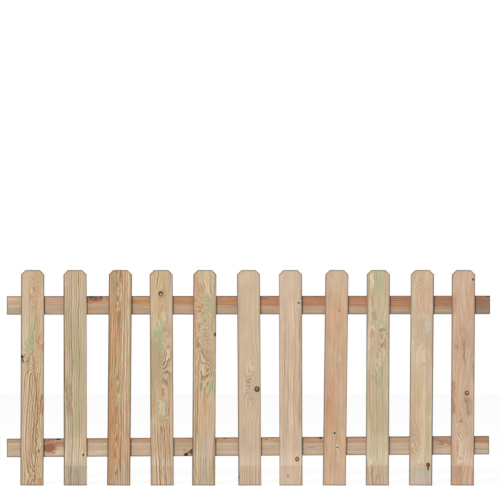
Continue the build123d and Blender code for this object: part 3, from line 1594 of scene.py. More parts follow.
PALE_3 = Timber(
    Tone.HONEY, Tone.AMBER,
    Grain(-160, 50, 6, 0, ring=7, wander=20, contrast=0.9, ripple=2.5, late=Tone.TAN, early=0.7),
    streaks=(
        Streak(-24, 24, 690, 850, Tone.SAGE, 0.8, 4, 40, 2),
        Streak(-2, 18, 620, 850, Tone.OLIVE, 0.5, 4, 40, 2),
        Streak(0, 120, 80, 880, Tone.AMBER, 0.26, 3, 40),
        Streak(-20, 44, -30, 700, Tone.AMBER, 0.75, 5, 40, 0, 0.3),
        Streak(-37, 11, -30, 650, Tone.RUSSET, 0.75, 3),
        Streak(-22, 15, 84, 330, Tone.TERRA, 0.4, 4, 30, 3, 0.6),
        Streak(-10, 26, 590, 645, Tone.SAGE, 0.95, 3, 10, 5),
        Streak(-18, 22, 552, 612, Tone.TERRA, 0.95, 3, 12, 4, 0.4),
        Streak(-16, 14, 425, 480, Tone.TERRA, 0.5, 5, 20, 4, 0.7),
        Streak(-12, 24, 360, 480, Tone.OLIVE, 0.9, 6, 25, 4),
        Streak(-2, 24, 270, 365, Tone.OLIVE, 0.9, 5, 25, 3),
        Streak(-16, 18, 215, 292, Tone.TERRA, 1.0, 3, 14, 3, 0.3),
        Streak(-14, 10, 222, 274, Tone.RUSSET, 0.9, 3, 14, 3, 0.4),
        Streak(-18, 26, 80, 215, Tone.AMBER, 0.7, 4, 30, 2, 0.4),
        Streak(-4, 5, 82, 135, Tone.RUSSET, 0.8, 3, 12, 2, 0.3),
        Streak(24, 24, 100, 195, Tone.PEACH, 0.7, 4, 20, 3, 0.6),
        Streak(10, 4, 420, 850, Tone.CREAM, 0.8, 4, 40, 2, 0.4),
        Streak(21, 4, 380, 850, Tone.CREAM, 0.7, 4, 40, 2, 0.4),
        Streak(32, 4, 300, 850, Tone.CREAM, 0.6, 4, 40, 2, 0.4),
        Streak(14, 4, 60, 420, Tone.CREAM, 0.6, 4, 40, 2, 0.4),
        Streak(-15, 3.4, 640, 830, Tone.BARK, 0.8, 4, 40, 2, 0.3),
        Streak(-2, 3.4, 560, 830, Tone.BARK, 0.7, 4, 40, 2, 0.3, 0.03),
        Streak(5, 2.6, 60, 560, Tone.UMBER, 0.5, 4, 40, 2, 0.3),
        Streak(24, 40, 190, 700, Tone.SAND, 0.3, 4, 60),
        Streak(8, 70, -50, 78, Tone.MIST, 0.5, 4, 6, 0, 0.3),
        Streak(16, 3, 120, 760, Tone.UMBER, 0.7, 3, 40, 1, 0.3),
        Streak(27, 3, 200, 800, Tone.UMBER, 0.6, 3, 40, 1, 0.3),
        Streak(40, 8, 170, 580, Tone.SAGE, 0.8, 2, 30, 1),
    ),
    swells=(Swell(-12, 720, 12, 90, 3, 1.2), Swell(-15, 120, 13, 110, 4, 1.2), Swell(-14, 330, 14, 60, 2)),
    figures=(Figure(-12, 440, 26, 130, 5, 18), Figure(-10, 640, 26, 60, 5, 16)),
    foot=0.6, mix=0.6, bands=0.9, fibre=1.5, edges=(0.87, 0.6),
)
PALE_4 = Timber(
    Tone.HONEY, Tone.FAWN,
    Grain(
        -90, 44, 6, 16, ring=7.8, wander=18, contrast=0.45, ripple=4, focus=4, spread=80,
        late=Tone.UMBER, early=0.7,
    ),
    knots=(Knot(-2, 713, 7, Look.DARK, 1.15, 1.0), Knot(-1, 711, 2.6, Look.PALE, 1.2, 0.0, 0.7)),
    streaks=(
        Streak(-3, 17, 716, 820, Tone.STRAW, 0.8, 3, 20, 2, 0.4),
        Streak(-10, 4, 716, 805, Tone.UMBER, 0.8, 3, 20, 3, 0.3),
        Streak(22, 34, 590, 850, Tone.ROSY, 0.4, 4),
        Streak(-32, 24, 240, 600, Tone.TAN, 0.3, 4, 40, 2, 0.4),
        Streak(0, 100, -50, 110, Tone.SAND, 0.3, 4),
        Streak(38, 12, -50, 850, Tone.ROSY, 0.8, 3),
        Streak(-39, 8, 230, 570, Tone.SAGE, 0.8, 2, 40, 2, 0.4),
        Streak(10, 20, 588, 652, Tone.MINT, 0.6, 3, 12, 4, 0.8, 0.1),
        Streak(6, 16, 600, 655, Tone.CREAM, 0.45, 3, 12, 6, 0.9, 0.1),
        Streak(-10, 50, 536, 618, Tone.MINT, 0.9, 4, 18, 5, 0.6, 0.2),
        Streak(-5, 22, 492, 565, Tone.MINT, 0.9, 4, 18, 5, 0.6, -0.1),
        Streak(-16, 34, 420, 545, Tone.OLIVE, 0.85, 6, 20, 4, 0.6),
        Streak(-12, 38, 572, 622, Tone.CREAM, 0.6, 4, 8, 8, 1.0, 0.3),
        Streak(6, 40, 395, 500, Tone.OLIVE, 0.4, 4, 30, 4, 0.6),
        Streak(5, 14, 322, 365, Tone.TERRA, 0.9, 3, 8, 5, 0.7),
        Streak(4, 34, 238, 326, Tone.MINT, 0.55, 4, 15, 4, 0.6),
        Streak(0, 26, 255, 322, Tone.CREAM, 0.7, 4, 10, 7, 1.0),
        Streak(-4, 3, -10, 230, Tone.UMBER, 0.7, 4, 25, 3, 0.4),
        Streak(14, 3, -10, 240, Tone.UMBER, 0.7, 4, 25, 3, 0.4),
        Streak(31, 16, 170, 240, Tone.PEACH, 0.6, 4, 20, 2),
    ),
    swells=(Swell(0, 486, 23, 100, 10, 1.25), Swell(4, 286, 15, 36, 5, 1.7)),
    figures=(Figure(-8, 570, 34, 60, 7), Figure(4, 290, 22, 46, 6, 10), Figure(4, 110, 42, 150, 4, 26)),
    accents=(
        Accent(8, 56, 350, 520, 1.3), Accent(0, 90, -50, 235, 1.0), Accent(0, 100, 525, 850, -0.3),
        Accent(-4, 30, 740, 850, 1.0),
    ),
    foot=0.3, bleach=0.8, edges=(0.6, 0.46),
)
PALE_5 = Timber(
    Tone.FAWN, Tone.HONEY,
    Grain(60, 50, 4, 6, ring=7.5, wander=18, contrast=0.5, ripple=5, late=Tone.UMBER, early=0.5),
    knots=(Knot(41, 562, 4.5, Look.DEAD, 1.5, 0.3),),
    streaks=(
        Streak(8, 56, 690, 850, Tone.SAND, 0.5, 6, 40),
        Streak(-36, 13, 540, 800, Tone.TERRA, 0.6, 3, 30, 3, 0.8),
        Streak(-20, 20, 640, 760, Tone.AMBER, 0.6, 8, 20, 6, 0.9),
        Streak(12, 50, 560, 730, Tone.MINT, 0.6, 10, 30, 8, 1.0),
        Streak(-8, 40, 590, 720, Tone.TERRA, 0.25, 10, 30, 9, 1.0),
        Streak(34, 12, 560, 720, Tone.OLIVE, 0.7, 4, 30, 4, 0.7),
        Streak(-24, 26, 500, 620, Tone.AMBER, 0.5, 6, 30, 6, 0.8),
        Streak(2, 34, 520, 590, Tone.OLIVE, 0.5, 6, 20, 6, 0.8),
        Streak(14, 48, 395, 510, Tone.OLIVE, 0.55, 5, 20, 5, 0.7),
        Streak(6, 22, 395, 440, Tone.TERRA, 0.7, 5, 12, 6, 0.8),
        Streak(-28, 18, 400, 500, Tone.AMBER, 0.6, 5, 20, 4, 0.7),
        Streak(24, 36, 345, 395, Tone.MINT, 0.85, 4, 12, 6, 0.6),
        Streak(-11, 18, 345, 388, Tone.SAGE, 0.95, 4, 12, 6),
        Streak(-31, 10, 120, 366, Tone.AMBER, 0.6, 3, 30, 2, 0.4),
        Streak(-18, 6, 170, 366, Tone.STRAW, 0.7, 4, 30, 2, 0.4),
        Streak(-24, 4, 180, 372, Tone.UMBER, 0.85, 3, 20, 2, 0.2),
        Streak(4, 9, 250, 355, Tone.TERRA, 0.85, 3, 20, 2, 0.3),
        Streak(24, 26, 100, 340, Tone.ROSY, 0.5, 4),
        Streak(-40, 7, 40, 330, Tone.RUSSET, 0.9, 2, 30, 2, 0.3),
        Streak(0, 36, -30, 190, Tone.ASH, 0.6, 4),
        Streak(-34, 3.5, 60, 210, Tone.PEACH, 0.8, 2, 20, 1, 0.2),
        Streak(-30, 2.6, 60, 230, Tone.UMBER, 0.8, 2, 20, 1, 0.2),
        Streak(-25, 5, 90, 170, Tone.CREAM, 0.6, 2, 20, 1, 0.3),
        Streak(-27, 4, -20, 112, Tone.SAGE, 0.9, 2, 15, 1, 0.2, -0.28),
        Streak(-34, 3.4, -20, 60, Tone.SAGE, 0.8, 2, 15, 1, 0.2, -0.2),
        Streak(33, 4, -20, 104, Tone.SAGE, 0.7, 2, 15, 1, 0.2, 0.12),
    ),
    swells=(
        Swell(4, 545, 22, 32, 4), Swell(14, 492, 24, 88, 8, 1.3), Swell(-4, 668, 30, 26, 3),
        Swell(8, 620, 24, 20, 3),
    ),
    figures=(Figure(0, 670, 46, 120, 12, 10), Figure(4, 470, 40, 90, 6, 14)),
    accents=(
        Accent(14, 60, 385, 520, 1.0), Accent(8, 70, 90, 345, -0.8), Accent(0, 70, -30, 90, -0.5),
        Accent(0, 70, 740, 850, -0.5),
    ),
    nicks=(Nick(42, 562, 6, 3),), mix=0.6, bands=0.25, bleach=0.6, edges=(0.82, 0.33),
)
PALE_6 = Timber(
    Tone.ROSY, Tone.FAWN,
    Grain(60, 60, 4, 0, ring=6.5, wander=12, contrast=0.22, ripple=2.5, late=Tone.UMBER, early=0.5),
    knots=(
        Knot(29, 358, 8.6, Look.DARK, 1.1, 1.0), Knot(28, 359, 3.4, Look.GLINT, 1.2, 0.0, 0.6),
        Knot(-41, 32, 3, Look.DEAD, 1.0, 0.3),
    ),
    streaks=(
        Streak(-22, 36, 730, 810, Tone.SAND, 0.4),
        Streak(-26, 24, 560, 720, Tone.OLIVE, 0.35),
        Streak(24, 34, 300, 800, Tone.FAWN, 0.4),
        Streak(2, 50, 405, 460, Tone.SAND, 0.5, 5, 25, 4),
        Streak(-34, 20, 180, 560, Tone.ROSY, 0.6),
        Streak(30, 12, 178, 218, Tone.STRAW, 0.6, 3, 14, 3, 0.6),
        Streak(-8, 50, 85, 165, Tone.OLIVE, 0.22),
        Streak(0, 100, -50, 76, Tone.FAWN, 0.8),
    ),
    swells=(Swell(16, 362, 20, 62, 7, 1.4),),
    figures=(Figure(10, 365, 26, 80, 5, 10),),
    accents=(Accent(12, 50, 290, 450, 1.8), Accent(0, 100, -50, 78, 1.0), Accent(0, 100, 450, 850, -0.2)),
    nicks=(Nick(-41, 32, 4, 1.5),), foot=0.5, bands=0.2, fibre=0.6, bleach=0.6, edges=(0.76, 0.3),
)
PALE_7 = Timber(
    Tone.ROSY, Tone.SAND,
    Grain(70, 50, 4, 0, ring=9, wander=14, contrast=0.24, ripple=2, late=Tone.CINNAMON, early=0.9),
    knots=(
        Knot(34, 696, 1.8), Knot(31, 679, 3.6, Look.BROWN, 1.1),
        Knot(23, 98, 7, Look.HOLLOW, 1.1), Knot(-11, 36, 1.8, Look.BROWN, 2.6),
    ),
    streaks=(
        Streak(28, 18, 655, 712, Tone.SAND, 0.6, 3, 10, 4, 0.8),
        Streak(-34, 12, 400, 640, Tone.TERRA, 0.3, 3),
        Streak(-22, 5, 380, 600, Tone.SAGE, 0.75, 3, 60, 1, 0.3),
        Streak(-12, 5, 150, 420, Tone.SAGE, 0.65, 3, 60, 1, 0.3, 0.03),
        Streak(-30, 16, 170, 420, Tone.FAWN, 0.5, 3),
        Streak(9, 6, 90, 600, Tone.TERRA, 0.6, 4, 60, 1, 0.4),
        Streak(18, 7, 250, 560, Tone.OLIVE, 0.5, 4, 60, 1, 0.4),
        Streak(33, 4, 190, 640, Tone.UMBER, 0.8, 3, 60, 1, 0.3),
        Streak(36, 3, 520, 740, Tone.RUSSET, 0.9, 3, 30, 2, 0.4),
        Streak(-12, 3, 330, 480, Tone.CINNAMON, 0.5, 4, 40, 2, 0.4, 0.03),
        Streak(38, 8, -20, 150, Tone.TERRA, 0.5, 3),
        Streak(0, 90, -50, 150, Tone.ROSY, 0.7, 3, 60),
        Streak(0, 90, 640, 900, Tone.ROSY, 0.6, 3, 60),
        Streak(0, 60, 100, 190, Tone.SAND, 0.3, 3, 40),
    ),
    figures=(Figure(22, 100, 20, 34, 4, 14),),
    accents=(Accent(0, 100, -50, 130, -0.7), Accent(0, 100, 690, 850, -0.6), Accent(-6, 60, 150, 620, 0.4)),
    mix=0.35, bands=0.3, fibre=0.8, bleach=0.9, edges=(0.38, 0.7),
)
PALE_8 = Timber(
    Tone.PEACH, Tone.HONEY,
    Grain(50, 70, 4, 10, ring=8, wander=14, contrast=0.13, ripple=2.5, late=Tone.UMBER, early=0.5),
    knots=(
        Knot(10, 650, 1.6, Look.BROWN, 2.6), Knot(-1, 195, 3.2, Look.DEAD, 1.1, 1.0),
        Knot(9, 142, 2.6, Look.DEAD, 1.0, 1.0),
    ),
    streaks=(
        Streak(0, 100, 700, 850, Tone.ROSY, 0.75, 4, 50),
        Streak(0, 70, 560, 700, Tone.TERRA, 0.15, 4, 50),
        Streak(8, 30, 440, 510, Tone.SAND, 0.35, 4, 30, 4, 0.6),
        Streak(-14, 34, 180, 430, Tone.TERRA, 0.42, 4, 60),
        Streak(-26, 26, 240, 340, Tone.TAN, 0.3, 5, 30, 4, 0.9),
        Streak(10, 14, 400, 470, Tone.SAGE, 0.22, 5, 20, 4, 0.6),
        Streak(-6, 30, 500, 690, Tone.TERRA, 0.2, 5, 40, 3, 0.9),
        Streak(-12, 4, 250, 430, Tone.TERRA, 0.6, 4, 30, 2, 0.4),
        Streak(4, 3, 190, 380, Tone.TERRA, 0.5, 4, 30, 2, 0.4),
        Streak(22, 4, 170, 440, Tone.SAND, 0.5, 4, 30, 2, 0.4),
        Streak(-30, 4, 90, 400, Tone.CINNAMON, 0.4, 4, 30, 2, 0.4),
        Streak(16, 20, 160, 420, Tone.FAWN, 0.4, 4, 60),
        Streak(13, 10, 82, 162, Tone.SAND, 0.85, 4, 15, 3),
        Streak(0, 90, -50, 75, Tone.ROSY, 0.6, 4, 50),
    ),
    figures=(Figure(12, 130, 18, 50, 5), Figure(6, 470, 24, 40, 6, 16)),
    accents=(Accent(10, 40, 80, 210, 1.5), Accent(0, 100, 560, 850, -0.5), Accent(6, 50, 430, 510, 1.0)),
    nicks=(Nick(-1, 195, 3.5, 1.5), Nick(9, 142, 3, 1.2)), bands=0.3, fibre=0.7, edges=(0.57, 0.43),
)
PALE_9 = Timber(
    Tone.FAWN, Tone.OLIVE,
    Grain(-60, 60, 4, 0, ring=7, wander=16, contrast=0.3, ripple=4, late=Tone.UMBER, early=0.8),
    streaks=(
        Streak(0, 120, -50, 850, Tone.CREAM, 0.09, 0, 40, 0, 0.0),
        Streak(-6, 40, 690, 850, Tone.MINT, 0.34, 6, 30, 4, 0.6),
        Streak(8, 20, 720, 850, Tone.MIST, 0.35, 6, 30, 4, 0.6),
        Streak(29, 16, 690, 790, Tone.PEACH, 0.8, 3, 15, 3),
        Streak(-22, 16, 730, 790, Tone.CREAM, 0.6, 4, 12, 6, 1.0),
        Streak(7, 9, 680, 740, Tone.STRAW, 0.9, 4, 20, 3),
        Streak(-23, 11, 650, 728, Tone.AMBER, 0.8, 3, 20, 3, 0.4),
        Streak(-14, 16, 610, 655, Tone.SAGE, 0.8, 4, 12, 5, 0.7),
        Streak(20, 18, 560, 650, Tone.MINT, 0.7, 5, 25, 4, 0.7),
        Streak(0, 20, 600, 640, Tone.AMBER, 0.4, 4, 15, 5, 0.8),
        Streak(-20, 26, 572, 600, Tone.CREAM, 0.7, 4, 8, 6, 0.9),
        Streak(-22, 14, 546, 588, Tone.TERRA, 0.6, 3, 9, 4, 0.6),
        Streak(22, 16, 480, 560, Tone.STRAW, 0.5, 5, 20, 5, 0.8),
        Streak(-26, 9, 480, 520, Tone.TERRA, 0.5, 3, 10, 4, 0.6),
        Streak(-14, 15, 398, 455, Tone.MINT, 0.7, 4, 12, 5, 0.7),
        Streak(12, 14, 378, 448, Tone.MINT, 0.7, 4, 12, 5, 0.7),
        Streak(0, 36, 360, 410, Tone.MINT, 0.6, 4, 12, 6, 0.9),
        Streak(-24, 12, 386, 418, Tone.TERRA, 0.6, 3, 8, 4, 0.6),
        Streak(-6, 60, 180, 360, Tone.OLIVE, 0.28, 5, 60, 2, 0.6),
        Streak(16, 16, 150, 330, Tone.PEACH, 0.5, 5, 40, 2, 0.6),
        Streak(-21, 4, 230, 330, Tone.TERRA, 0.5, 4, 15, 4, 0.6),
        Streak(20, 12, 260, 350, Tone.MINT, 0.4, 4, 15, 4, 0.7),
        Streak(-34, 8, 420, 560, Tone.SAND, 0.6, 4, 15, 4, 0.7),
        Streak(-14, 12, 130, 230, Tone.MINT, 0.4, 5, 20, 3, 0.7),
        Streak(0, 14, 84, 116, Tone.MINT, 0.7, 4, 8, 4, 0.6),
        Streak(-26, 16, 76, 110, Tone.CREAM, 0.6, 4, 8, 6, 0.9),
        Streak(0, 100, 70, 200, Tone.SAND, 0.4, 4),
        Streak(0, 100, -50, 80, Tone.ROSY, 0.5, 4, 6),
        Streak(-19, 4, -20, 72, Tone.UMBER, 0.85, 5, 12, 6, 0.2),
        Streak(-4, 4, -20, 46, Tone.UMBER, 0.8, 4, 12, 4, 0.2, 0.1),
        Streak(8, 3, -20, 60, Tone.UMBER, 0.6, 4, 12, 3, 0.3),
    ),
    swells=(Swell(6, 560, 16, 50, 3), Swell(-8, 480, 14, 36, 2)),
    figures=(Figure(2, 540, 38, 90, 10, 13), Figure(0, 400, 34, 40, 8), Figure(-12, 94, 34, 24, 9, 9)),
    accents=(Accent(4, 60, 470, 620, 1.0), Accent(0, 100, 640, 850, -0.3), Accent(0, 100, 60, 240, -0.3)),
    foot=0.5, mix=0.4, bands=0.2, bleach=0.7, edges=(0.55, 0.62),
)
PALE_10 = Timber(
    Tone.FAWN, Tone.SAND,
    Grain(50, 60, 4, 0, ring=7.5, wander=12, contrast=0.24, ripple=3, late=Tone.TAN, early=1.0),
    knots=(
        Knot(27, 63, 3.4, Look.DARK, 1.5, 0.3), Knot(27, 77, 6.5, Look.DARK, 1.15, 1.0),
        Knot(8, 452, 4, Look.SOFT, 0.5, 0.6, 0.6),
    ),
    streaks=(
        Streak(0, 100, 700, 900, Tone.PEACH, 0.5, 3, 40),
        Streak(-6, 26, 740, 795, Tone.STRAW, 0.35, 3, 15, 3, 0.7),
        Streak(0, 76, 632, 740, Tone.PEACH, 0.75, 5, 14, 2, 0.4),
        Streak(20, 30, 545, 640, Tone.MIST, 0.75, 4, 20, 4),
        Streak(18, 24, 560, 640, Tone.SAND, 0.7, 4, 15, 7, 1.0),
        Streak(-10, 24, 540, 620, Tone.OLIVE, 0.35, 4, 20, 4, 0.7),
        Streak(6, 22, 438, 462, Tone.PEACH, 0.7, 3, 8, 4, 0.6),
        Streak(-18, 34, 120, 480, Tone.HONEY, 0.55, 5, 60),
        Streak(-20, 4, 270, 440, Tone.STRAW, 0.7, 4, 30, 2, 0.4),
        Streak(28, 12, 250, 360, Tone.OLIVE, 0.5, 4, 30, 2),
        Streak(22, 26, 90, 260, Tone.OLIVE, 0.3, 5, 40),
        Streak(-18, 40, 80, 250, Tone.PEACH, 0.5, 6, 30, 3, 0.6),
        Streak(0, 100, -50, 70, Tone.MIST, 0.55, 4, 6, 2, 0.3),
        Streak(0, 60, 72, 84, Tone.PEACH, 0.8, 2, 4, 2, 0.3),
    ),
    swells=(Swell(-6, 768, 15, 26, 6), Swell(-8, 580, 15, 42, 12), Swell(-12, 160, 18, 50, 4)),
    figures=(Figure(20, 600, 20, 46, 8, 10), Figure(-12, 180, 28, 90, 8, 16), Figure(-6, 440, 30, 30, 5, 14)),
    accents=(
        Accent(-4, 60, 500, 640, 1.6), Accent(-6, 40, 720, 810, 1.6), Accent(-14, 44, 90, 260, 0.8),
        Accent(0, 100, -50, 62, -0.6),
    ),
    nicks=(Nick(27, 64, 5, 1.5),), foot=0.5, fibre=0.6, bleach=0.6, edges=(0.46, 0.9),
)
PALE_11 = Timber(
    Tone.PEACH, Tone.ROSY,
    Grain(40, 56, 0, 14, ring=7.5, wander=14, contrast=0.2, ripple=4, late=Tone.UMBER, early=0.6),
    knots=(
        Knot(35, 766, 3, Look.DEAD, 1.3, 0.5), Knot(-26, 516, 6.5, Look.SOFT, 1.0, 0.8, 0.45),
        Knot(15, 344, 7, Look.RINGED, 1.05, 1.0), Knot(16, 345, 2.6, Look.PALE, 1.0, 0.0, 0.55),
        Knot(-6, 240, 2.4, Look.BROWN, 1.0),
    ),
    streaks=(
        Streak(30, 18, 750, 800, Tone.SAND, 0.5, 3, 12, 4, 0.7),
        Streak(0, 80, 700, 850, Tone.ROSY, 0.5, 3, 40),
        Streak(-33, 15, 630, 720, Tone.TERRA, 0.85, 3, 20, 3, 0.6),
        Streak(0, 80, 440, 600, Tone.DRAB, 0.25, 4, 50),
        Streak(3, 8, 452, 542, Tone.UMBER, 0.7, 4, 15, 2, 0.4),
        Streak(22, 13, 360, 520, Tone.ROSY, 0.9, 3, 25, 2, 0.3),
        Streak(28, 3, 380, 500, Tone.CINNAMON, 0.6, 3, 25, 2, 0.3),
        Streak(38, 8, 370, 470, Tone.SAGE, 0.8, 2, 20, 2, 0.4),
        Streak(-35, 18, 255, 400, Tone.RUSSET, 0.75, 4, 25, 4, 0.6),
        Streak(-30, 8, 380, 420, Tone.CREAM, 0.6, 3, 10, 5, 0.8),
        Streak(-12, 16, 300, 400, Tone.FAWN, 0.6, 4, 25, 4, 0.6),
        Streak(22, 30, 250, 335, Tone.DRAB, 0.8, 4, 20, 4, 0.6),
        Streak(0, 60, 76, 190, Tone.SAND, 0.65, 4, 16, 3, 0.4),
        Streak(-34, 12, 76, 160, Tone.TERRA, 0.5, 4, 16, 3),
        Streak(-4, 34, 180, 232, Tone.SAND, 0.6, 4, 10, 5, 0.7),
        Streak(-9, 17, -30, 74, Tone.AMBER, 0.7, 3, 3, 2, 0.3),
        Streak(20, 10, -30, 74, Tone.TERRA, 0.5, 4, 3),
        Streak(36, 14, -30, 74, Tone.TERRA, 0.5, 4, 3),
    ),
    swells=(Swell(-3, 206, 15, 38, 5, 1.3), Swell(0, 120, 20, 66, 3, 1.2), Swell(6, 560, 20, 80, 2)),
    figures=(Figure(18, 300, 22, 50, 7, 10), Figure(-4, 205, 24, 40, 6)),
    accents=(Accent(-4, 44, 160, 250, 2.2), Accent(0, 80, 70, 160, 1.0), Accent(18, 40, 250, 340, 1.6)),
    nicks=(Nick(35, 766, 4, 2),), foot=0.5, fibre=0.75, bleach=0.9, edges=(0.62, 0.55),
)
PALES: tuple[Timber, ...] = (
    PALE_1, PALE_2, PALE_3, PALE_4, PALE_5, PALE_6, PALE_7, PALE_8, PALE_9, PALE_10, PALE_11,
)
TOP_RAIL = Timber(
    Tone.FAWN, Tone.DRAB,
    Grain(-75, 10, 11, 0, ring=8, wander=6, contrast=0.36, ripple=2, late=Tone.UMBER),
    knots=(
        Knot(-35, 316, 6, Look.DEAD, 3.0, 0.6), Knot(-24, 330, 5.5, Look.RED),
        Knot(-22, 353, 2.4, Look.RED, 0.8), Knot(-24, 313, 3, Look.DARK, 0.8, 0.6),
        Knot(-31, 350, 3, Look.DEAD, 1.4), Knot(-36, 1792, 6, Look.DEAD, 1.0),
    ),
    streaks=(
        Streak(-20, 36, -60, 110, Tone.PEACH, 1.0, 2, 20, 0, 0.0),
        Streak(-24, 20, -60, 70, Tone.SAND, 0.45, 3, 20, 2),
        Streak(-16, 4, 0, 58, Tone.AMBER, 0.8, 3, 10, 3, 0.6),
        Streak(-26, 3, 6, 60, Tone.AMBER, 0.6, 3, 10, 3, 0.6),
        Streak(20, 36, -60, 90, Tone.DRAB, 0.6),
        Streak(-20, 36, 110, 300, Tone.PEACH, 0.75, 3, 20, 0, 0.2),
        Streak(-32, 4, 160, 184, Tone.RUSSET, 0.8, 2, 6, 3),
        Streak(-28, 16, 288, 362, Tone.MAROON, 0.4, 3, 8, 5, 0.7),
        Streak(-20, 7, 290, 312, Tone.TERRA, 0.9, 3, 6, 4),
        Streak(-22, 6, 338, 352, Tone.PEACH, 1.0, 3, 4, 4, 0.3),
        Streak(-14, 7, 318, 362, Tone.PEACH, 1.0, 4, 6, 7, 0.4, -0.1),
        Streak(-12, 3, 316, 350, Tone.UMBER, 0.4, 4, 6, 6, 0.7),
        Streak(20, 34, 120, 540, Tone.FLUSH, 0.35, 3, 30, 0, 0.2),
        Streak(-8, 12, 290, 420, Tone.HONEY, 0.5, 3, 10, 3, 0.4),
        Streak(-18, 24, 348, 410, Tone.HONEY, 0.5, 3, 10, 3, 0.4),
        Streak(-18, 34, 440, 550, Tone.AMBER, 0.5, 3, 15, 0, 0.3),
        Streak(-26, 4, 455, 530, Tone.SAND, 0.7, 3, 10, 2, 0.4),
        Streak(-6, 14, 490, 560, Tone.AMBER, 0.8, 3, 10, 2, 0.3),
        Streak(-14, 34, 600, 700, Tone.AMBER, 0.5, 3, 15, 2, 0.3),
        Streak(-24, 8, 600, 690, Tone.AMBER, 0.6, 3, 15, 2, 0.4),
        Streak(-26, 9, 740, 880, Tone.TERRA, 0.6, 3, 15, 2, 0.4),
        Streak(-8, 8, 740, 880, Tone.AMBER, 0.5, 3, 15, 2, 0.4),
        Streak(14, 12, 760, 880, Tone.ASH, 0.6, 3, 15, 2, 0.4),
        Streak(-27, 4, 936, 976, Tone.MAROON, 0.9, 3, 8, 4),
        Streak(-8, 8, 900, 1100, Tone.AMBER, 0.45, 3, 15, 2, 0.4),
        Streak(-26, 14, 1080, 1190, Tone.TAN, 0.4, 3, 15, 2, 0.4),
        Streak(-31, 4, 1138, 1164, Tone.MAROON, 0.9, 2, 6, 3, 0.4),
        Streak(28, 4, 1090, 1190, Tone.STRAW, 0.5, 3, 15, 2, 0.4),
        Streak(12, 20, 1080, 1340, Tone.ASH, 0.4, 3, 15, 2, 0.4),
        Streak(-8, 9, 1250, 1400, Tone.TERRA, 0.6, 3, 15, 2, 0.4),
        Streak(-3, 4, 1410, 1500, Tone.AMBER, 0.8, 3, 15, 2, 0.3),
        Streak(-22, 4, 1410, 1500, Tone.UMBER, 0.6, 3, 15, 2, 0.3),
        Streak(-10, 60, 1380, 1900, Tone.RUSSET, 0.3, 3, 200, 0, 0.1),
        Streak(0, 100, 1360, 1900, Tone.SMOKE, 0.12, 3, 200, 0, 0.1),
        Streak(20, 44, 250, 1560, Tone.RUSSET, 0.34, 3, 60, 0, 0.1),
        Streak(-33, 7, 1578, 1602, Tone.PITCH, 0.9, 2, 6, 2, 0.3),
        Streak(8, 3, 1576, 1604, Tone.UMBER, 0.9, 2, 8, 2, 0.2),
        Streak(18, 34, 1560, 1900, Tone.DRAB, 0.6, 3, 60),
        Streak(0, 100, 1690, 1900, Tone.SMOKE, 0.46, 3, 20, 0, 0.2),
    ),
    swells=(Swell(-30, 328, 13, 30, 6),),
    figures=(Figure(-26, 325, 16, 34, 8, 9),),
    accents=(
        Accent(-10, 60, 1380, 1850, 0.6), Accent(-20, 30, -50, 280, -0.6), Accent(18, 40, -50, 1500, -0.45),
        Accent(-26, 26, 286, 366, 2.0),
    ),
    nicks=(Nick(-36, 1792, 8, 3),), heart=80, heart_tone=Tone.CINNAMON, edges=(0.65, 0.5),
)
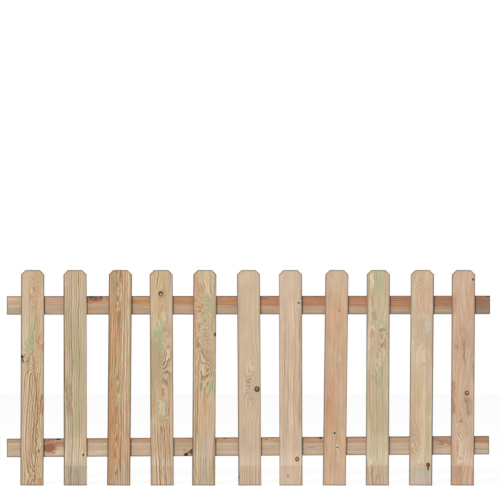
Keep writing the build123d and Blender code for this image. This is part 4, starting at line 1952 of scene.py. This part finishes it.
BOTTOM_RAIL = Timber(
    Tone.FAWN, Tone.ROSY,
    Grain(-75, 10, 5, 0, ring=8, wander=6, contrast=0.24, ripple=3, late=Tone.UMBER),
    knots=(
        Knot(0, 158, 13.5, Look.CLOUDED, 1.4, 0.5, 0.9), Knot(-33, 192, 4.2, Look.DEAD, 2.1, 0.2),
        Knot(29, 667, 5, Look.DEAD, 1.3, 0.2), Knot(20, 687, 6.5, Look.DARK, 0.5, 0.0),
        Knot(11, 662, 3.2, Look.RINGED, 1.0, 0.4, 0.5),
        Knot(-33, 812, 3.0, Look.DARK, 1.4), Knot(-26, 966, 1.8, Look.BROWN, 1.6),
        Knot(-31, 1168, 4.5, Look.RED, 1.1), Knot(-32, 1170, 2.5, Look.DEAD, 1.2, 0.0),
    ),
    streaks=(
        Streak(18, 44, -50, 1700, Tone.UMBER, 0.1, 3, 100, 0, 0.1),
        Streak(-10, 24, 150, 240, Tone.CINNAMON, 0.8, 3, 20, 3, 0.3, -0.25),
        Streak(-17, 20, 120, 184, Tone.RUSSET, 0.85, 3, 10, 3, 0.3),
        Streak(-22, 5, 130, 190, Tone.UMBER, 0.8, 3, 15, 4, 0.4, -0.15),
        Streak(-14, 6, 172, 220, Tone.UMBER, 0.8, 3, 12, 3, 0.2, -0.4),
        Streak(-24, 16, 184, 230, Tone.PEACH, 0.7, 3, 10, 2, 0.3),
        Streak(8, 6, 120, 190, Tone.UMBER, 0.6, 3, 15, 4, 0.4, 0.1),
        Streak(14, 16, 176, 220, Tone.CREAM, 0.6, 3, 12, 3, 0.4),
        Streak(-28, 12, 280, 560, Tone.AMBER, 0.7, 3, 30, 2),
        Streak(-12, 14, 280, 600, Tone.ROSY, 0.6, 3),
        Streak(18, 26, 270, 400, Tone.SAND, 0.6, 3, 20),
        Streak(-28, 10, 640, 700, Tone.AMBER, 0.8, 3, 12, 2, 0.4),
        Streak(-8, 20, 590, 700, Tone.DRAB, 0.5, 3, 20),
        Streak(25, 18, 668, 696, Tone.RUSSET, 0.6, 1, 4, 1, 0.2, -0.3),
        Streak(27, 5, 674, 690, Tone.ROSY, 0.9, 1, 3, 1, 0.2, -0.6),
        Streak(19, 9, 658, 696, Tone.KNOT, 1.0, 1, 4, 2, 0.0, -0.72),
        Streak(-24, 7, 760, 870, Tone.TERRA, 0.7, 4, 15, 2, 0.4),
        Streak(-14, 26, 940, 1000, Tone.ROSY, 0.5, 3, 15),
        Streak(-27, 6, 935, 1000, Tone.TERRA, 0.6, 4, 12, 3),
        Streak(-26, 14, 1090, 1180, Tone.AMBER, 0.6, 3, 15, 2, 0.4),
        Streak(14, 22, 1090, 1180, Tone.ASH, 0.5, 3, 15),
        Streak(4, 3, 1110, 1150, Tone.UMBER, 0.7, 3, 10, 3, 0.4),
        Streak(-22, 7, 1260, 1340, Tone.TERRA, 0.5, 4, 15, 2, 0.4, 0.1),
        Streak(-6, 30, 1400, 1520, Tone.ASH, 0.3, 3, 20),
        Streak(-30, 12, 1560, 1900, Tone.DRAB, 0.75, 3, 20, 2, 0.1),
        Streak(-11, 20, 1590, 1700, Tone.CINNAMON, 0.75, 4, 20, 4, 0.4, 0.1),
        Streak(-16, 4, 1590, 1640, Tone.MAROON, 0.6, 3, 12, 3, 0.3, 0.25),
        Streak(-6, 4, 1580, 1635, Tone.UMBER, 0.7, 3, 12, 3, 0.3, -0.2),
        Streak(-24, 4, 1600, 1650, Tone.UMBER, 0.7, 3, 12, 3, 0.3, 0.2),
        Streak(-14, 17, 1720, 1900, Tone.RUSSET, 0.65, 4, 15, 2, 0.2),
        Streak(-12, 6, 1730, 1900, Tone.TERRA, 0.7, 3, 12, 2, 0.3),
        Streak(-22, 28, 1720, 1900, Tone.UMBER, 0.35, 3, 12, 2, 0.2),
        Streak(20, 36, 1720, 1900, Tone.SAGE, 0.3, 3, 12),
    ),
    swells=(Swell(-8, 160, 26, 60, 2), Swell(-18, 1650, 18, 60, 4, 1.3)),
    figures=(Figure(-14, 1620, 20, 50, 5, 14),),
    accents=(Accent(-14, 50, 1570, 1680, 1.2), Accent(16, 40, -50, 1560, -0.35)),
    nicks=(Nick(-35, 198, 9, 3), Nick(26, 660, 7, 2)), heart=66, heart_tone=Tone.FLUSH, edges=(0.65, 0.5),
)


@dataclass
class Panel:
    """The fence panel, from its finishes to its pieces."""

    effects: Effects
    pale_width: float = 86.0 * MM
    pale_thickness: float = 18.0 * MM
    pale_length: float = 801.5 * MM
    pale_arris: float = 2.0 * MM
    ear_cut: float = 16.5 * MM
    rail_height: float = 69.0 * MM
    rail_thickness: float = 28.0 * MM
    rail_length: float = 1800.0 * MM
    bottom_rail_trim: float = 3.5 * MM
    rail_arris: float = 2.5 * MM
    pale_seed: float = 11.0
    seed_step: float = 5.3
    top_seed: float = 83.0
    bottom_seed: float = 91.0

    def build(self) -> None:
        """Builds the pales from left to right, the two rails and the nails."""
        pales = [f"pale_{number + 1:02d}" for number in range(len(PALES))]
        for number, (node, timber) in enumerate(zip(pales, PALES)):
            pale = self._pale(node, timber, self.pale_seed + number * self.seed_step)
            self._report(pale.build(self.effects))
        short = self.rail_length - self.bottom_rail_trim
        top = self._rail("top_rail", TOP_RAIL, self.rail_length, self.top_seed)
        bottom = self._rail("bottom_rail", BOTTOM_RAIL, short, self.bottom_seed)
        for board in (top, bottom):
            self._report(board.build(self.effects))
        self._report(Nails(pales, [top.node, bottom.node]).build())

    def _pale(self, node: str, timber: Timber, seed: float) -> Board:
        """One dog-eared pale."""
        return Board(
            node, timber, self.pale_width, self.pale_thickness, self.pale_length, self.pale_arris,
            self.ear_cut, seed, "pale_timber",
        )

    def _rail(self, node: str, timber: Timber, length: float, seed: float) -> Board:
        """One rail."""
        return Board(
            node, timber, self.rail_height, self.rail_thickness, length, self.rail_arris,
            0.0, seed, "rail_timber",
        )

    @staticmethod
    def _report(piece: Object) -> None:
        """Writes down a piece's name and size."""
        size = ", ".join(f"{side / MM:.1f}" for side in piece.dimensions)
        log.info("%s: %s mm, %d faces", piece.name, size, len(piece.data.polygons))


@dataclass
class Studio:
    """The pale floor, the soft light and the camera.

    Attributes:
        distance: How far the camera is in front of the rails' faces.
        eye: Its height over the pales' feet.
        field: The width that the picture spans at the rails' faces.
        centre: The picture's middle, along X.
        foot_row: The pixel row that the pales' feet stand on.
    """

    distance: float = 9.7
    eye: float = 0.45
    field: float = 1.8618
    centre: float = 0.0056
    foot_row: float = 485.65

    PICTURE = 500
    SENSOR = 36.0
    KEY_AT = Vector((-4.3, -17.4, 9.6))
    KEY_SIZE = 1.7
    KEY_POWER = 2800.0
    FILL_AT = Vector((6.0, 12.0, 5.0))
    FILL_SIZE = 4.0
    FILL_POWER = 1300.0
    SKY = 0.22
    FLOOR_HALF = 30.0
    FLOOR_DROP = 0.2 * MM
    FLOOR_GREY = (0.92, 0.92, 0.92, 1.0)
    FLOOR_MIX = 0.8
    FLOOR_GLOW = 1.15
    WHITE = (1.0, 1.0, 1.0, 1.0)

    def build(self) -> None:
        """Sets the studio up round the panel."""
        low, high = cad_box
        rails_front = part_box("top_rail")[0].y
        self._floor(low.z)
        middle = Vector((0.0, low.y, (low.z + high.z) / 2))
        self._lamp("key", self.KEY_AT, self.KEY_SIZE, self.KEY_POWER, middle)
        fill = self._lamp("fill", self.FILL_AT, self.FILL_SIZE, self.FILL_POWER, middle)
        self._light_only_panel(fill)
        self._world()
        self._camera(Vector((0.0, rails_front, low.z)), low.y)

    def _floor(self, level: float) -> None:
        """Lays a pale floor that keeps the panel's shadow.

        Args:
            level: The height of the pales' feet.
        """
        bm = bmesh.new()
        bmesh.ops.create_grid(bm, x_segments=1, y_segments=1, size=self.FLOOR_HALF)
        bmesh.ops.translate(bm, vec=(0.0, 0.0, level - self.FLOOR_DROP), verts=bm.verts)
        made, g, paint = new_material("studio_floor")
        g.feed(paint.inputs["Base Color"], self.FLOOR_GREY)
        g.feed(paint.inputs["Roughness"], 1.0)
        g.feed(paint.inputs["Specular IOR Level"], 0.0)
        glow = g.result("Emission", self.WHITE, self.FLOOR_GLOW)
        mixed = g.result("MixShader", g.times(self._seen(g), self.FLOOR_MIX), paint.outputs[0], glow)
        g.feed(made.node_tree.nodes["Material Output"].inputs["Surface"], mixed)
        floor = new_object("studio_floor", bm, made)

    @staticmethod
    def _seen(g: Graph) -> Socket:
        """Where a ray comes from the eye.

        Args:
            g: The graph.

        Returns:
            1 for a ray from the camera, from a reflection or through glass, and 0 for any other.
        """
        rays = g.add("LightPath").outputs
        kinds = ("Is Camera Ray", "Is Glossy Ray", "Is Transmission Ray")
        return g.math("MINIMUM", g.total(*[rays[kind] for kind in kinds]), 1.0)

    @staticmethod
    def _lamp(name: str, place: Vector, size: float, power: float, aim: Vector) -> Object:
        """Adds a soft square lamp.

        Args:
            name: Its name.
            place: Where it hangs.
            size: Its width.
            power: Its power in watts.
            aim: The point that it faces.

        Returns:
            The lamp's object.
        """
        light = bpy.data.lights.new(name, "AREA")
        light.shape = "SQUARE"
        light.size = size
        light.energy = power
        lamp = bpy.data.objects.new(name, light)
        lamp.location = place
        lamp.rotation_euler = (aim - place).to_track_quat("-Z", "Y").to_euler()
        bpy.context.scene.collection.objects.link(lamp)
        return lamp

    @staticmethod
    def _light_only_panel(lamp: Object) -> None:
        """Keeps a lamp off the floor, which so keeps the key lamp's shadows alone.

        Args:
            lamp: The lamp.
        """
        lit = bpy.data.collections.new("lit_by_" + lamp.name)
        for thing in bpy.context.scene.objects:
            if thing.type == "MESH" and thing.name != "studio_floor":
                lit.objects.link(thing)
        lamp.light_linking.receiver_collection = lit

    def _world(self) -> None:
        """White behind the panel, and soft light from all round it."""
        world = bpy.data.worlds.new("studio")
        world.use_nodes = True
        g = Graph(world.node_tree)
        sky = world.node_tree.nodes["Background"]
        g.feed(sky.inputs["Color"], self.WHITE)
        g.feed(sky.inputs["Strength"], g.times_plus(self._seen(g), 1.0 - self.SKY, self.SKY))
        bpy.context.scene.world = world

    def _camera(self, base: Vector, pales_front: float) -> None:
        """Sets up a level camera square to the panel, shifted so that the panel sits low in the picture.

        Args:
            base: The middle of the rails' fronts, at the height of the pales' feet.
            pales_front: The Y of the pales' faces.
        """
        data = bpy.data.cameras.new("camera")
        data.sensor_width = self.SENSOR
        data.lens = self.SENSOR * self.distance / self.field
        near = (self.distance + pales_front - base.y) / self.distance
        middle_row = self.foot_row - self.eye * self.PICTURE / (self.field * near)
        data.shift_y = (middle_row - self.PICTURE / 2) / self.PICTURE
        data.shift_x = self.centre / self.field
        camera = bpy.data.objects.new("camera", data)
        camera.location = base + Vector((0.0, -self.distance, self.eye))
        camera.rotation_euler = (math.radians(90), 0.0, 0.0)
        bpy.context.scene.collection.objects.link(camera)
        bpy.context.scene.camera = camera


def main() -> None:
    """Builds the panel, then the studio round it."""
    logging.basicConfig(level=logging.INFO, format="%(name)s: %(message)s")
    bpy.context.scene.view_settings.view_transform = "Standard"
    Panel(Effects()).build()
    Studio().build()


if __name__ == "__main__":
    main()
